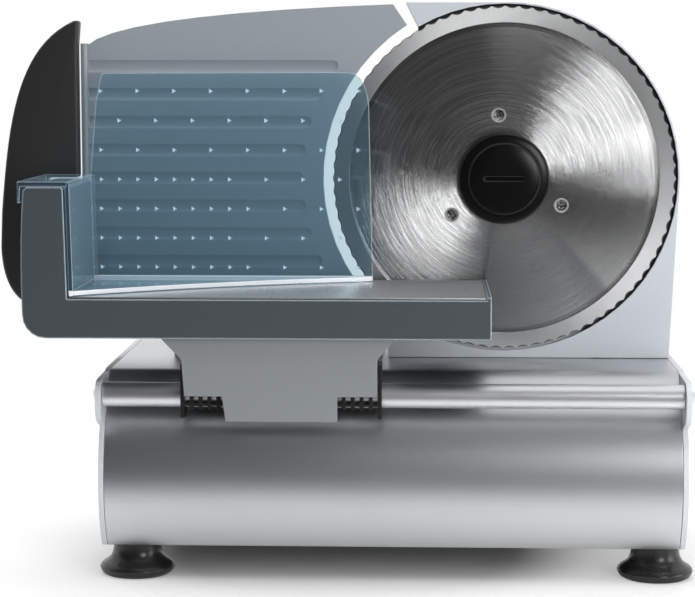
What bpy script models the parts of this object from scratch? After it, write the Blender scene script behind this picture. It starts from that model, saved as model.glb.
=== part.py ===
"""An electric food slicer: serrated blade on a worm drive, carriage on a rail, food pusher and
ribbed gauge plate. Metres, +Z up, +Y away from the user. Pieces are drawn from the blade's axis,
X = 0, the blade's front face, Y = 0, and the floor, Z = 0. The root empty centres the whole."""

import math

import bmesh
import bpy
from mathutils import Matrix, Vector

# Fits
GAP = 0.0003
FIT = 0.0004

# Blade and its drive
BLADE_R = 0.0950
BLADE_T = 0.0015
BLADE_Z = 0.2120
BLADE_BORE_R = 0.0150
EDGE_T = 0.0004
GROUND_W = 0.0090
SCALLOPS = 80
SCALLOP_DEPTH = 0.0011
SCREW_RING_R = 0.0352
SCREW_TURN = 95.0
SCREW_HEAD_R = 0.0038
GEAR_TEETH = 72
GEAR_R = 0.0468
GEAR_W = 0.0142
TOOTH_H = 0.0028
WORM_R = 0.0060
WORM_Y = 0.0100
WORM_LENGTH = 0.0260
SHAFT_R = 0.0030
SPINDLE_R = 0.0050
BUSH_R = 0.0080
CAP_R = 0.0253
CAP_H = 0.0057

# Upright housing
HOUSING_R = 0.0972
HOUSING_TOP = 0.3089
HOUSING_FRONT = 0.0005
HOUSING_BACK = 0.0220
RECESS_R = 0.0963
RECESS_FLOOR = 0.0040
COVER_BACK = 0.0480
WALL = 0.0028

# Base
BASE_LEFT = -0.2160
BASE_RIGHT = 0.0950
BASE_BOTTOM = 0.0185
BASE_TOP = 0.1115
BASE_BACK = 0.0880
SHELL_T = 0.0010
CAP_T = 0.0028
FOOT_R = 0.0203
FOOT_X = (-0.1994, 0.0810)
FOOT_Y = (-0.0500, 0.0620)

# Rail and slide
RAIL_R = 0.0065
RAIL_Y = -0.0760
RAIL_Z = 0.1017

# Carriage
CARRIAGE_LEFT = -0.2512
CARRIAGE_RIGHT = -0.0094
CARRIAGE_FRONT = -0.0980
CARRIAGE_BACK = -0.0030
TRAY_TOP = 0.1560
TRAY_BOTTOM = 0.1340
UPRIGHT_TOP = 0.2120
UPRIGHT_INNER = -0.2293
BRACKET_LEFT = -0.1816
BRACKET_RIGHT = -0.0579
BRACKET_BOTTOM = 0.0900

# Food pusher
PUSHER_T = 0.0025
PUSHER_BACK = -0.0115
PUSHER_TOP = 0.2706
PUSHER_RIGHT = -0.0746
PUSHER_CORNER_W = 0.0115
PUSHER_CORNER_H = 0.0180
SPIKE_H = 0.0028
SPIKE_PITCH = 0.0203
SPIKE_ROWS = 7

# Gauge plate and its drive
PLATE_FRONT = 0.0005
PLATE_T = 0.0040
PLATE_LEFT = -0.2321
PLATE_BOTTOM = 0.1370
PLATE_ARC_R = 0.1004
GROOVES = 8
GROOVE_PITCH = 0.0155
GAUGE_TRAVEL = 0.0150
DIAL_TURN = 300.0
DECK_LEFT = -0.1850
DECK_RIGHT = -0.0672
DECK_TOP = 0.1310
CAM_X = -0.1300
CAM_R = 0.0070
LEG_OFFSET = 0.0220
ROD_R = 0.0025
DIAL_R = 0.0220
DIAL_H = 0.0190

# Whole object, for the root's place
LOWEST_X = -0.2790
GUARD_FRONT = -0.0140

for old in list(bpy.data.objects):
    bpy.data.objects.remove(old, do_unlink=True)

bpy.context.scene.unit_settings.system = "METRIC"


def material(name, colour, roughness, metallic=0.0, alpha=1.0):
    made = bpy.data.materials.new(name)
    made.use_nodes = True
    shader = made.node_tree.nodes["Principled BSDF"]
    shader.inputs["Base Color"].default_value = (*colour, 1.0)
    shader.inputs["Roughness"].default_value = roughness
    shader.inputs["Metallic"].default_value = metallic
    shader.inputs["Alpha"].default_value = alpha
    return made


BRUSHED = material("brushed_steel", (0.55, 0.56, 0.57), 0.32, 1.0)
POLISHED = material("polished_steel", (0.70, 0.71, 0.72), 0.12, 1.0)
PALE = material("pale_blue_plastic", (0.42, 0.47, 0.52), 0.38)
DARK = material("dark_grey_plastic", (0.07, 0.075, 0.08), 0.40)
GREY = material("mid_grey_plastic", (0.16, 0.17, 0.18), 0.42)
BLACK = material("black_plastic", (0.012, 0.012, 0.013), 0.42)
CLEAR = material("blue_clear_plastic", (0.10, 0.32, 0.48), 0.08, 0.0, 0.5)
RUBBER = material("black_rubber", (0.015, 0.015, 0.015), 0.75)
NYLON = material("white_nylon", (0.75, 0.74, 0.70), 0.50)
BRONZE = material("sintered_bronze", (0.55, 0.36, 0.16), 0.45, 1.0)


# Outline and body helpers


def arc(a, b, radius, start, end, steps):
    """Points on an arc about (a, b), angles in degrees from the first axis."""
    turns = [math.radians(start + (end - start) * i / steps) for i in range(steps + 1)]
    return [(a + radius * math.cos(t), b + radius * math.sin(t)) for t in turns]


def bulge(first, last, height, steps):
    """Points of a shallow arc from first to last, bowed to the left of that direction by height."""
    one, two = Vector(first), Vector(last)
    chord = two - one
    left = Vector((-chord.y, chord.x)).normalized()
    half = chord.length / 2
    radius = (half * half + height * height) / (2 * height)
    middle = (one + two) / 2 - left * (radius - height)
    reach = math.asin(half / radius)
    points = []
    for i in range(steps + 1):
        t = -reach + 2 * reach * i / steps
        points.append(middle + left * radius * math.cos(t) + chord.normalized() * radius * math.sin(t))
    return [(p.x, p.y) for p in points]


def rounded(corners, steps=4):
    """A closed outline whose corners are (a, b, radius), going round one way."""
    points = []
    for i, (a, b, radius) in enumerate(corners):
        here = Vector((a, b))
        before = Vector(corners[i - 1][:2]) - here
        after = Vector(corners[(i + 1) % len(corners)][:2]) - here
        if radius <= 0:
            points.append((a, b))
            continue
        before.normalize()
        after.normalize()
        half = before.angle(after) / 2
        centre = here + (before + after).normalized() * (radius / math.sin(half))
        start = here + before * (radius / math.tan(half)) - centre
        end = here + after * (radius / math.tan(half)) - centre
        swing = start.angle_signed(end)
        for k in range(steps + 1):
            p = centre + Matrix.Rotation(-swing * k / steps, 2) @ start
            points.append((p.x, p.y))
    return points


def box_outline(low_a, high_a, low_b, high_b, radius=0.0, steps=3):
    corners = [(low_a, low_b), (high_a, low_b), (high_a, high_b), (low_a, high_b)]
    return rounded([(a, b, radius) for a, b in corners], steps)


def inset(outline, depth):
    """The outline moved inwards by depth; it must run anticlockwise."""
    moved = []
    count = len(outline)
    for i, point in enumerate(outline):
        here = Vector(point)
        one = (here - Vector(outline[i - 1])).normalized()
        two = (Vector(outline[(i + 1) % count]) - here).normalized()
        n_one = Vector((-one.y, one.x))
        n_two = Vector((-two.y, two.x))
        p = here + (n_one + n_two) * (depth / (1.0 + n_one.dot(n_two)))
        moved.append((p.x, p.y))
    return moved


AXES = {
    "X": lambda a, b, h: Vector((h, a, b)),
    "Y": lambda a, b, h: Vector((a, h, b)),
    "Z": lambda a, b, h: Vector((a, b, h)),
}


def body(name, mesh, paint, pivot, smooth=False):
    """Puts a bmesh into the scene as one object under its pivot empty. Without a paint it is a cutter."""
    bmesh.ops.recalc_face_normals(mesh, faces=mesh.faces)
    data = bpy.data.meshes.new(name)
    mesh.to_mesh(data)
    mesh.free()
    made = bpy.data.objects.new(name, data)
    bpy.context.scene.collection.objects.link(made)
    made.parent = pivot
    made.location = -Vector(pivot["place"])
    if paint is None:
        made.hide_render = True
        made.display_type = "WIRE"
    else:
        data.materials.append(paint)
    if smooth:
        data.shade_smooth()
        data.set_sharp_from_angle(angle=math.radians(32))
    return made


def prism(name, outline, axis, low, high, paint, pivot, smooth=False):
    """An outline in the plane across the axis, extruded along it from low to high."""
    mesh = bmesh.new()
    place = AXES[axis]
    face = mesh.faces.new([mesh.verts.new(place(a, b, low)) for a, b in outline])
    side = bmesh.ops.extrude_face_region(mesh, geom=[face])["geom"]
    shift = place(0, 0, high) - place(0, 0, low)
    bmesh.ops.translate(mesh, verts=[v for v in side if isinstance(v, bmesh.types.BMVert)], vec=shift)
    return body(name, mesh, paint, pivot, smooth)


def revolve(name, profile, axis, centre, steps, paint, pivot, smooth=True):
    """A closed profile of (radius, height) turned about a line along the axis through centre."""
    mesh = bmesh.new()
    place = AXES[axis]
    base = place(centre[0], centre[1], 0)
    verts = [mesh.verts.new(base + place(r, 0, h)) for r, h in profile]
    edges = [mesh.edges.new(pair) for pair in zip(verts, verts[1:])]
    if profile[0][0] > 0:
        edges.append(mesh.edges.new((verts[-1], verts[0])))
    bmesh.ops.spin(
        mesh, geom=verts + edges, cent=base, axis=place(0, 0, 1), dvec=(0, 0, 0),
        angle=2 * math.pi, steps=steps, use_merge=True,
    )
    bmesh.ops.remove_doubles(mesh, verts=mesh.verts, dist=1e-7)
    bmesh.ops.dissolve_degenerate(mesh, dist=1e-7, edges=mesh.edges)
    return body(name, mesh, paint, pivot, smooth)


def rod(name, axis, centre, radius, low, high, steps, paint, pivot):
    return revolve(name, [(0, low), (radius, low), (radius, high), (0, high)], axis, centre, steps, paint, pivot)


def helix(name, section, axis, centre, start, turns, lead, steps, paint, pivot):
    """A closed section of (radius, height) swept along a helix of this lead, from the angle start."""
    mesh = bmesh.new()
    place = AXES[axis]
    base = place(centre[0], centre[1], 0)
    rings = []
    count = max(2, round(steps * abs(turns)))
    for i in range(count + 1):
        share = i / count
        t = math.radians(start) + 2 * math.pi * turns * share
        lift = lead * turns * share
        rings.append([
            mesh.verts.new(base + place(r * math.cos(t), r * math.sin(t), h + lift)) for r, h in section
        ])
    for one, two in zip(rings, rings[1:]):
        for k in range(len(section)):
            mesh.faces.new((one[k - 1], one[k], two[k], two[k - 1]))
    mesh.faces.new(rings[0])
    mesh.faces.new(list(reversed(rings[-1])))
    return body(name, mesh, paint, pivot)


def boolean(target, tool, operation):
    step = target.modifiers.new(f"{operation.lower()} {tool.name}"[:60], "BOOLEAN")
    step.operation = operation
    step.solver = "EXACT"
    step.object = tool
    return target


def cut(target, *tools):
    for tool in tools:
        boolean(target, tool, "DIFFERENCE")
    return target


def fuse(target, *tools):
    for tool in tools:
        boolean(target, tool, "UNION")
    return target


def soften(target, width, segments=2, angle=40):
    step = target.modifiers.new("soft edges", "BEVEL")
    step.width = width
    step.segments = segments
    step.limit_method = "ANGLE"
    step.angle_limit = math.radians(angle)
    return target


def empty(name, place, parent=None):
    """A pivot: its place is in the drawing's own axes, from the blade's axis and the floor."""
    made = bpy.data.objects.new(name, None)
    bpy.context.scene.collection.objects.link(made)
    made.parent = parent
    made["place"] = place
    made.location = Vector(place) - Vector(parent["place"]) if parent else Vector(place)
    return made


# Pivots, one for each body that moves

HIGHEST_X = FOOT_X[1] + FOOT_R
DIAL_BACK = BASE_BACK + GAP + DIAL_H
ROOT = empty("slicer", (0, 0, 0))
ROOT.location = (-(LOWEST_X + HIGHEST_X) / 2, -(CARRIAGE_FRONT + DIAL_BACK) / 2, 0)

CAM_Z = (BASE_TOP + DECK_TOP) / 2
WORM_X = GEAR_R + WORM_R + FIT / 2
SWITCH_X = 0.0500
SWITCH_Z = 0.1500

CARRIAGE = empty("carriage_slides", (0, RAIL_Y, RAIL_Z), ROOT)
PUSHER = empty("pusher_slides", (0, 0, UPRIGHT_TOP), CARRIAGE)
PLATE = empty("gauge_slides", (CAM_X, 0, CAM_Z), ROOT)
DIAL = empty("dial_turns", (CAM_X, 0, CAM_Z), ROOT)
SPIN = empty("blade_spins", (0, 0, BLADE_Z), ROOT)
LOCK = empty("lock_turns", (0, 0, BLADE_Z), SPIN)
WORM = empty("worm_spins", (WORM_X, WORM_Y, BLADE_Z), ROOT)
SWITCH = empty("switch_tilts", (SWITCH_X, COVER_BACK, SWITCH_Z), ROOT)
CENTRE = (0, BLADE_Z)


# Blade: a dished disc with a ground band and a scalloped edge, three countersunk screws


def scalloped(radius, depth):
    """The cutting edge: sharp tips with a hollow between each pair."""
    points = []
    for i in range(SCALLOPS):
        for share, drop in ((0.0, 0.0), (0.3, 1.0), (0.7, 1.0)):
            t = 2 * math.pi * (i + share) / SCALLOPS
            r = radius - depth * drop
            points.append((r * math.cos(t), BLADE_Z + r * math.sin(t)))
    return points


def blade_blank():
    """Flat inside, ground back to a thin edge outside; one inner point meets each scallop."""
    mesh = bmesh.new()
    inner = []
    for i in range(SCALLOPS):
        t = 2 * math.pi * (i + 0.5) / SCALLOPS
        r = BLADE_R - GROUND_W
        inner.append(mesh.verts.new((r * math.cos(t), 0, BLADE_Z + r * math.sin(t))))
    front, back = [
        [mesh.verts.new((a, y, b)) for a, b in scalloped(BLADE_R, SCALLOP_DEPTH)]
        for y in (BLADE_T - EDGE_T, BLADE_T)
    ]
    for i, hub in enumerate(inner):
        tips = [front[(3 * i + k) % len(front)] for k in range(4)]
        for one, two in zip(tips, tips[1:]):
            mesh.faces.new((hub, one, two))
        mesh.faces.new((hub, tips[3], inner[(i + 1) % SCALLOPS]))
    for k in range(len(front)):
        mesh.faces.new((front[k - 1], front[k], back[k], back[k - 1]))
    mesh.faces.new(inner)
    mesh.faces.new(list(reversed(back)))
    return body("blade", mesh, POLISHED, SPIN)


def screw_places():
    for i in range(3):
        t = math.radians(SCREW_TURN + 120 * i)
        yield i + 1, SCREW_RING_R * math.cos(t), BLADE_Z + SCREW_RING_R * math.sin(t)


blade = blade_blank()
cut(blade, rod("blade_bore", "Y", CENTRE, BLADE_BORE_R, -0.001, BLADE_T + 0.001, 36, None, SPIN))

GEAR_FRONT = BLADE_T + GAP
GEAR_BACK = GEAR_FRONT + GEAR_W
GEAR_HUB_R = 0.0185
CAP_BOSS_R = BLADE_BORE_R - FIT
CAP_BOSS_BACK = 0.0092
LEDGE_T = 0.0030
GEAR_WEB_T = 0.0045
PITCH = 2 * math.pi * GEAR_R / GEAR_TEETH


def toothed():
    """The gear's outline, and its twist along the width to match the worm's lead."""
    tip = 0.20
    root = 0.36
    points = []
    for i in range(GEAR_TEETH):
        for share, r in (
            (-root, GEAR_R - 0.55 * TOOTH_H), (-tip, GEAR_R + 0.45 * TOOTH_H),
            (tip, GEAR_R + 0.45 * TOOTH_H), (root, GEAR_R - 0.55 * TOOTH_H),
        ):
            points.append((2 * math.pi * (i + share * 0.9) / GEAR_TEETH, r))
    return points


def gear_blank():
    mesh = bmesh.new()
    rings = []
    slope = PITCH / (2 * math.pi * WORM_R) / GEAR_R
    for y in (GEAR_FRONT, GEAR_BACK):
        twist = -(y - WORM_Y) * slope
        rings.append([
            mesh.verts.new((r * math.cos(t + twist), y, BLADE_Z + r * math.sin(t + twist)))
            for t, r in toothed()
        ])
    for k in range(len(rings[0])):
        mesh.faces.new((rings[0][k - 1], rings[0][k], rings[1][k], rings[1][k - 1]))
    mesh.faces.new(rings[0])
    mesh.faces.new(list(reversed(rings[1])))
    return body("drive_gear", mesh, NYLON, SPIN)


gear = gear_blank()
cut(
    gear,
    revolve(
        "gear_pocket",
        [(GEAR_HUB_R, GEAR_FRONT + GEAR_WEB_T), (GEAR_R - 0.0060, GEAR_FRONT + GEAR_WEB_T),
         (GEAR_R - 0.0060, GEAR_BACK + 0.001), (GEAR_HUB_R, GEAR_BACK + 0.001)],
        "Y", CENTRE, 30, None, SPIN,
    ),
    revolve(
        "gear_bore",
        [(0, GEAR_FRONT - 0.001), (CAP_BOSS_R + FIT, GEAR_FRONT - 0.001),
         (CAP_BOSS_R + FIT, CAP_BOSS_BACK + GAP), (SPINDLE_R + GAP, CAP_BOSS_BACK + GAP),
         (SPINDLE_R + GAP, GEAR_BACK + 0.001), (0, GEAR_BACK + 0.001)],
        "Y", CENTRE, 24, None, SPIN,
    ),
)

SCREW_END = GEAR_BACK - 0.0030
SCREW_R = 0.0016
for number, x, z in screw_places():
    head = [(0, 0.00005), (SCREW_HEAD_R, 0.00005), (SCREW_HEAD_R, 0.0003), (SCREW_R, 0.0024)]
    screw = revolve(
        f"blade_screw_{number}", head + [(SCREW_R, SCREW_END), (0, SCREW_END)],
        "Y", (x, z), 14, POLISHED, SPIN,
    )
    slots = []
    for turn in (0, 90):
        slot = prism(
            f"cross_{number}_{turn}", box_outline(x - 0.0022, x + 0.0022, z - 0.0004, z + 0.0004),
            "Y", -0.001, 0.0009, None, SPIN,
        )
        slot.data.transform(
            Matrix.Translation((x, 0, z)) @ Matrix.Rotation(math.radians(turn + 20 * number), 4, "Y")
            @ Matrix.Translation((-x, 0, -z))
        )
        slots.append(slot)
    cut(screw, *slots)
    grown = [(r + GAP if r else 0, h) for r, h in head]
    hole = revolve(
        f"screw_hole_{number}",
        [(0, -0.001), (SCREW_HEAD_R + GAP, -0.001)] + grown[2:] + [
            (SCREW_R + GAP, SCREW_END + GAP), (0, SCREW_END + GAP)],
        "Y", (x, z), 14, None, SPIN,
    )
    boss = rod(
        f"gear_boss_{number}", "Y", (x, z), SCREW_R + 0.0030, GEAR_FRONT + 0.001, GEAR_BACK, 12, None, SPIN,
    )
    fuse(gear, boss)
    cut(blade, hole)
    cut(gear, hole)

# Spindle, its cross pin and retaining ring: they turn in the housing's bronze bush

SPINDLE_FRONT = -0.0012
SPINDLE_BACK = 0.0440
PIN_Y = 0.0028
PIN_R = 0.0015
PIN_REACH = 0.0086
RING_Y = 0.0415
RING_T = 0.0012
spindle = revolve(
    "blade_spindle",
    [(0, SPINDLE_FRONT), (SPINDLE_R - 0.0006, SPINDLE_FRONT), (SPINDLE_R, SPINDLE_FRONT + 0.0006),
     (SPINDLE_R, RING_Y), (SPINDLE_R - 0.0010, RING_Y), (SPINDLE_R - 0.0010, RING_Y + RING_T),
     (SPINDLE_R, RING_Y + RING_T), (SPINDLE_R, SPINDLE_BACK), (0, SPINDLE_BACK)],
    "Y", CENTRE, 24, POLISHED, SPIN,
)
cut(spindle, rod("pin_hole", "Z", (0, PIN_Y), PIN_R + 0.0002, BLADE_Z - 0.02, BLADE_Z + 0.02, 12, None, SPIN))
rod("cross_pin", "Z", (0, PIN_Y), PIN_R, BLADE_Z - PIN_REACH, BLADE_Z + PIN_REACH, 12, POLISHED, SPIN)
ring = revolve(
    "retaining_ring",
    [(SPINDLE_R - 0.0007, RING_Y + 0.0001), (SPINDLE_R + 0.0028, RING_Y + 0.0001),
     (SPINDLE_R + 0.0028, RING_Y + RING_T - 0.0001), (SPINDLE_R - 0.0007, RING_Y + RING_T - 0.0001)],
    "Y", CENTRE, 16, POLISHED, SPIN,
)
cut(ring, prism(
    "ring_mouth", box_outline(-0.0032, 0.0032, BLADE_Z - 0.02, BLADE_Z), "Y",
    RING_Y - 0.001, RING_Y + 0.002, None, SPIN,
))

# Blade lock: a cap with a coin slot; its boss hooks behind the spindle's cross pin

CAVITY_R = PIN_REACH + GAP
CAVITY_FRONT = -0.0018
LEDGE_FRONT = CAP_BOSS_BACK - LEDGE_T
lock = revolve(
    "blade_lock",
    [(0, -CAP_H), (CAP_R - 0.0040, -CAP_H), (CAP_R - 0.0012, -CAP_H + 0.0012), (CAP_R, -CAP_H + 0.0034),
     (CAP_R, -GAP), (CAP_BOSS_R, -GAP), (CAP_BOSS_R, CAP_BOSS_BACK), (SPINDLE_R + GAP, CAP_BOSS_BACK),
     (SPINDLE_R + GAP, LEDGE_FRONT), (CAVITY_R, LEDGE_FRONT), (CAVITY_R, CAVITY_FRONT), (0, CAVITY_FRONT)],
    "Y", CENTRE, 36, BLACK, LOCK,
)
cut(
    lock,
    prism("coin_slot", box_outline(-0.0115, 0.0115, BLADE_Z - 0.0014, BLADE_Z + 0.0014, 0.0012),
          "Y", -CAP_H - 0.001, -CAP_H + 0.0026, None, LOCK),
    prism("pin_way", box_outline(-PIN_REACH - GAP, PIN_REACH + GAP, BLADE_Z - PIN_R - GAP,
                                 BLADE_Z + PIN_R + GAP), "Y", LEDGE_FRONT - 0.001, CAP_BOSS_BACK + 0.001,
          None, LOCK),
)

# Worm shaft, its upper bush and the motor that stands in the base

SHAFT_TOP = BLADE_Z + 0.0330
MOTOR_R = 0.0270
MOTOR_TOP = 0.1070
MOTOR_BOTTOM = 0.0400
WORM_AT = (WORM_X, WORM_Y)
shaft = rod("worm_shaft", "Z", WORM_AT, SHAFT_R, MOTOR_TOP - 0.040, SHAFT_TOP, 16, POLISHED, WORM)
CORE_R = WORM_R - 0.55 * TOOTH_H + 0.0001
THREAD_R = WORM_R + 0.45 * TOOTH_H
core = rod("worm_core", "Z", WORM_AT, CORE_R, BLADE_Z - WORM_LENGTH / 2 - 0.003,
           BLADE_Z + WORM_LENGTH / 2 + 0.003, 16, None, WORM)
TURNS = math.floor(WORM_LENGTH / PITCH)
CREST = 0.28 * PITCH / 2
FOOT_OF_THREAD = 0.64 * PITCH / 2
thread_start = BLADE_Z + PITCH / 2 - PITCH * math.ceil(TURNS / 2) - PITCH / 2
thread = helix(
    "worm_thread",
    [(CORE_R - 0.0006, -FOOT_OF_THREAD), (THREAD_R, -CREST), (THREAD_R, CREST), (CORE_R - 0.0006, FOOT_OF_THREAD)],
    "Z", WORM_AT, 0, TURNS, PITCH, 16, None, WORM,
)
thread.data.transform(Matrix.Translation((0, 0, thread_start)))
fuse(shaft, core, thread)
BUSH_LOW = SHAFT_TOP - 0.0080
WORM_BUSH_R = SHAFT_R + 0.0015
revolve(
    "worm_bush",
    [(SHAFT_R + GAP, BUSH_LOW), (WORM_BUSH_R, BUSH_LOW), (WORM_BUSH_R, SHAFT_TOP),
     (SHAFT_R + GAP, SHAFT_TOP)],
    "Z", WORM_AT, 20, BRONZE, ROOT,
)
motor = revolve(
    "motor",
    [(0, MOTOR_BOTTOM), (0.0100, MOTOR_BOTTOM), (0.0120, MOTOR_BOTTOM + 0.004), (MOTOR_R - 0.0030, MOTOR_BOTTOM + 0.004),
     (MOTOR_R, MOTOR_BOTTOM + 0.007), (MOTOR_R, MOTOR_TOP - 0.006), (MOTOR_R - 0.0030, MOTOR_TOP - 0.003),
     (0.0090, MOTOR_TOP - 0.003), (0.0090, MOTOR_TOP), (0, MOTOR_TOP)],
    "Z", WORM_AT, 24, GREY, ROOT,
)
cut(motor, rod("motor_bore", "Z", WORM_AT, SHAFT_R + GAP, MOTOR_TOP - 0.042, MOTOR_TOP + 0.001, 16, None, ROOT))

# Base: one bent steel sheet, two dark end caps, a bottom plate and four suction feet

SHOULDER = (-0.0620, 0.0945)
SHOULDER_R = BASE_TOP - SHOULDER[1]
BACK_R = 0.0120


def base_path():
    """The sheet's outer line, from the front lip under the base round to the back lip."""
    front = bulge((-0.0700, BASE_BOTTOM + 0.0040), SHOULDER, 0.0130, 12)
    shoulder = arc(SHOULDER[0] + SHOULDER_R, SHOULDER[1], SHOULDER_R, 180, 90, 6)[1:]
    back = arc(BASE_BACK - BACK_R, BASE_TOP - BACK_R, BACK_R, 90, 0, 5)
    low = arc(BASE_BACK - 0.006, BASE_BOTTOM + 0.006, 0.006, 0, -90, 3)
    return [(-0.0580, BASE_BOTTOM), (-0.0665, BASE_BOTTOM)] + front + shoulder + back + low + [
        (BASE_BACK - 0.0160, BASE_BOTTOM)]


PATH = base_path()
SECTION = list(reversed(PATH))
SHELL_LEFT = BASE_LEFT + CAP_T + GAP
SHELL_RIGHT = BASE_RIGHT - CAP_T - GAP


def sheet(path, thickness):
    """A bent strip as a closed outline: the outer line and the same line moved inwards."""
    closed = inset(list(reversed(path)), thickness)
    return path + closed


shell = prism("base_shell", sheet(PATH, SHELL_T), "X", SHELL_LEFT, SHELL_RIGHT, BRUSHED, ROOT, True)
cut(
    shell,
    rod("shaft_way", "Z", WORM_AT, 0.0110, BASE_TOP - 0.006, BASE_TOP + 0.006, 20, None, ROOT),
)

SPIGOT = 0.0070
INNER = inset(SECTION, SHELL_T + GAP)
PLATE_LOW = BASE_BOTTOM + SHELL_T + GAP
PLATE_HIGH = PLATE_LOW + 0.0022
LUG_Y = (-0.0180, 0.0340)
SCREW_LUG = 0.0120


def nose(low, high, name):
    """The part of an end cap that closes the rail's end."""
    front = RAIL_Y - RAIL_R - 0.0035
    corners = [(front, RAIL_Z - 0.0120, 0.0095), (-0.0500, RAIL_Z - 0.0260, 0),
               (-0.0400, BASE_TOP - 0.0010, 0), (-0.0560, BASE_TOP - 0.0010, 0.004),
               (front, RAIL_Z + 0.0080, 0.0080)]
    return prism(name, rounded(corners, 4), "X", low, high, None, ROOT)


def end_cap(name, outer, inner):
    """A cap from its outer face to its inner one, with a spigot inside the sheet and two screw lugs."""
    low, high = min(outer, inner), max(outer, inner)
    way = 1 if inner > outer else -1
    cap = prism(name, SECTION, "X", low, high, DARK, ROOT)
    deep = inner + way * SPIGOT
    spigot = prism(f"{name}_spigot", INNER, "X", min(inner - way * 0.001, deep), max(inner - way * 0.001, deep),
                   None, ROOT)
    hollow = prism(f"{name}_hollow", inset(INNER, 0.0024), "X", min(inner, deep + way * 0.001),
                   max(inner, deep + way * 0.001), None, ROOT)
    fuse(cap, nose(low, high, f"{name}_nose"), spigot)
    cut(cap, hollow)
    for i, y in enumerate(LUG_Y):
        lug_end = inner + way * (SPIGOT + SCREW_LUG)
        lug = prism(f"{name}_lug_{i}", box_outline(min(inner - way * 0.001, lug_end), max(inner - way * 0.001, lug_end),
                                                   y - 0.0060, y + 0.0060),
                    "Z", PLATE_HIGH + GAP, PLATE_HIGH + 0.0120, None, ROOT)
        fuse(cap, lug)
        pilot = rod(f"{name}_pilot_{i}", "Z", (inner + way * (SPIGOT + 0.0065), y), 0.0014 + GAP,
                    PLATE_HIGH - 0.001, PLATE_HIGH + 0.0110, 10, None, ROOT)
        cut(cap, pilot)
    middle = (RAIL_Y, RAIL_Z)
    cut(cap, rod(f"{name}_screw_way", "X", middle, 0.0020 + GAP, low - 0.001, high + 0.001, 12, None, ROOT))
    return cap


end_cap("end_cap_left", BASE_LEFT, BASE_LEFT + CAP_T)
end_cap("end_cap_right", BASE_RIGHT, BASE_RIGHT - CAP_T)

PLATE_ENDS = (BASE_LEFT + CAP_T + SPIGOT + GAP, BASE_RIGHT - CAP_T - SPIGOT - GAP)
bottom = prism(
    "base_plate", box_outline(*PLATE_ENDS, -0.0655, BASE_BACK - 0.0090, 0.004), "Z", PLATE_LOW, PLATE_HIGH, BLACK, ROOT,
)
VENTS = 6
for i in range(VENTS):
    x = WORM_X - 0.0200 + 0.0080 * i
    cut(bottom, prism(f"bottom_vent_{i}", box_outline(x - 0.0015, x + 0.0015, WORM_Y - 0.018, WORM_Y + 0.018),
                      "Z", PLATE_LOW - 0.001, PLATE_HIGH + 0.001, None, ROOT))

NECK_R = 0.0090
STEM_R = 0.0040


def foot(name, x, y):
    top = BASE_BOTTOM - GAP
    made = revolve(
        name,
        [(0, 0.0045), (0.0120, 0.0030), (FOOT_R - 0.0026, 0), (FOOT_R - 0.0008, 0), (FOOT_R, 0.0010),
         (FOOT_R - 0.0015, 0.0034),
         (0.0125, 0.0075), (NECK_R, 0.0105), (NECK_R, top), (STEM_R, top), (STEM_R, PLATE_HIGH + GAP),
         (STEM_R + 0.0014, PLATE_HIGH + GAP), (STEM_R, PLATE_HIGH + 0.0040), (0, PLATE_HIGH + 0.0040)],
        "Z", (x, y), 20, RUBBER, ROOT,
    )
    cut(bottom, rod(f"{name}_hole", "Z", (x, y), STEM_R + GAP, PLATE_LOW - 0.001, PLATE_HIGH + 0.001, 16, None, ROOT))
    return made


for row, y in zip(("front", "rear"), FOOT_Y):
    for side, x in zip(("left", "right"), FOOT_X):
        foot(f"foot_{row}_{side}", x, y)

for side, x in (("left", PLATE_ENDS[0] + 0.0062), ("right", PLATE_ENDS[1] - 0.0062)):
    for row, y in zip(("front", "rear"), LUG_Y):
        low = PLATE_LOW - GAP
        revolve(
            f"base_screw_{row}_{side}",
            [(0, low - 0.0018), (0.0026, low - 0.0018), (0.0030, low), (0.0014, low), (0.0014, PLATE_HIGH + 0.0090),
             (0, PLATE_HIGH + 0.0090)],
            "Z", (x, y), 10, POLISHED, ROOT,
        )
        cut(bottom, rod(f"plate_hole_{row}_{side}", "Z", (x, y), 0.0014 + GAP, PLATE_LOW - 0.001,
                        PLATE_HIGH + 0.001, 10, None, ROOT))

# Slide rail: a polished tube held between the end caps by a screw at each end

RAIL_ENDS = (BASE_LEFT + CAP_T + GAP, BASE_RIGHT - CAP_T - GAP)
rail = rod("slide_rail", "X", (RAIL_Y, RAIL_Z), RAIL_R, *RAIL_ENDS, 28, POLISHED, ROOT)
cut(rail, rod("rail_bore", "X", (RAIL_Y, RAIL_Z), 0.0020 + GAP, RAIL_ENDS[0] - 0.001, RAIL_ENDS[1] + 0.001, 12,
              None, ROOT))
for side, face, way in (("left", BASE_LEFT, -1), ("right", BASE_RIGHT, 1)):
    head = face + way * GAP
    revolve(
        f"rail_screw_{side}",
        [(0, head + way * 0.0020), (0.0022, head + way * 0.0018), (0.0036, head + way * 0.0006), (0.0036, head),
         (0.0020, head), (0.0020, head - way * 0.0160), (0, head - way * 0.0160)],
        "X", (RAIL_Y, RAIL_Z), 12, POLISHED, ROOT,
    )

# Upright housing, its rear cover and the bronze bush of the blade spindle

HOUSING_LOW = BASE_TOP + GAP
HIDDEN_R = 0.0880
LEFT_FOOT = -0.0640


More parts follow.
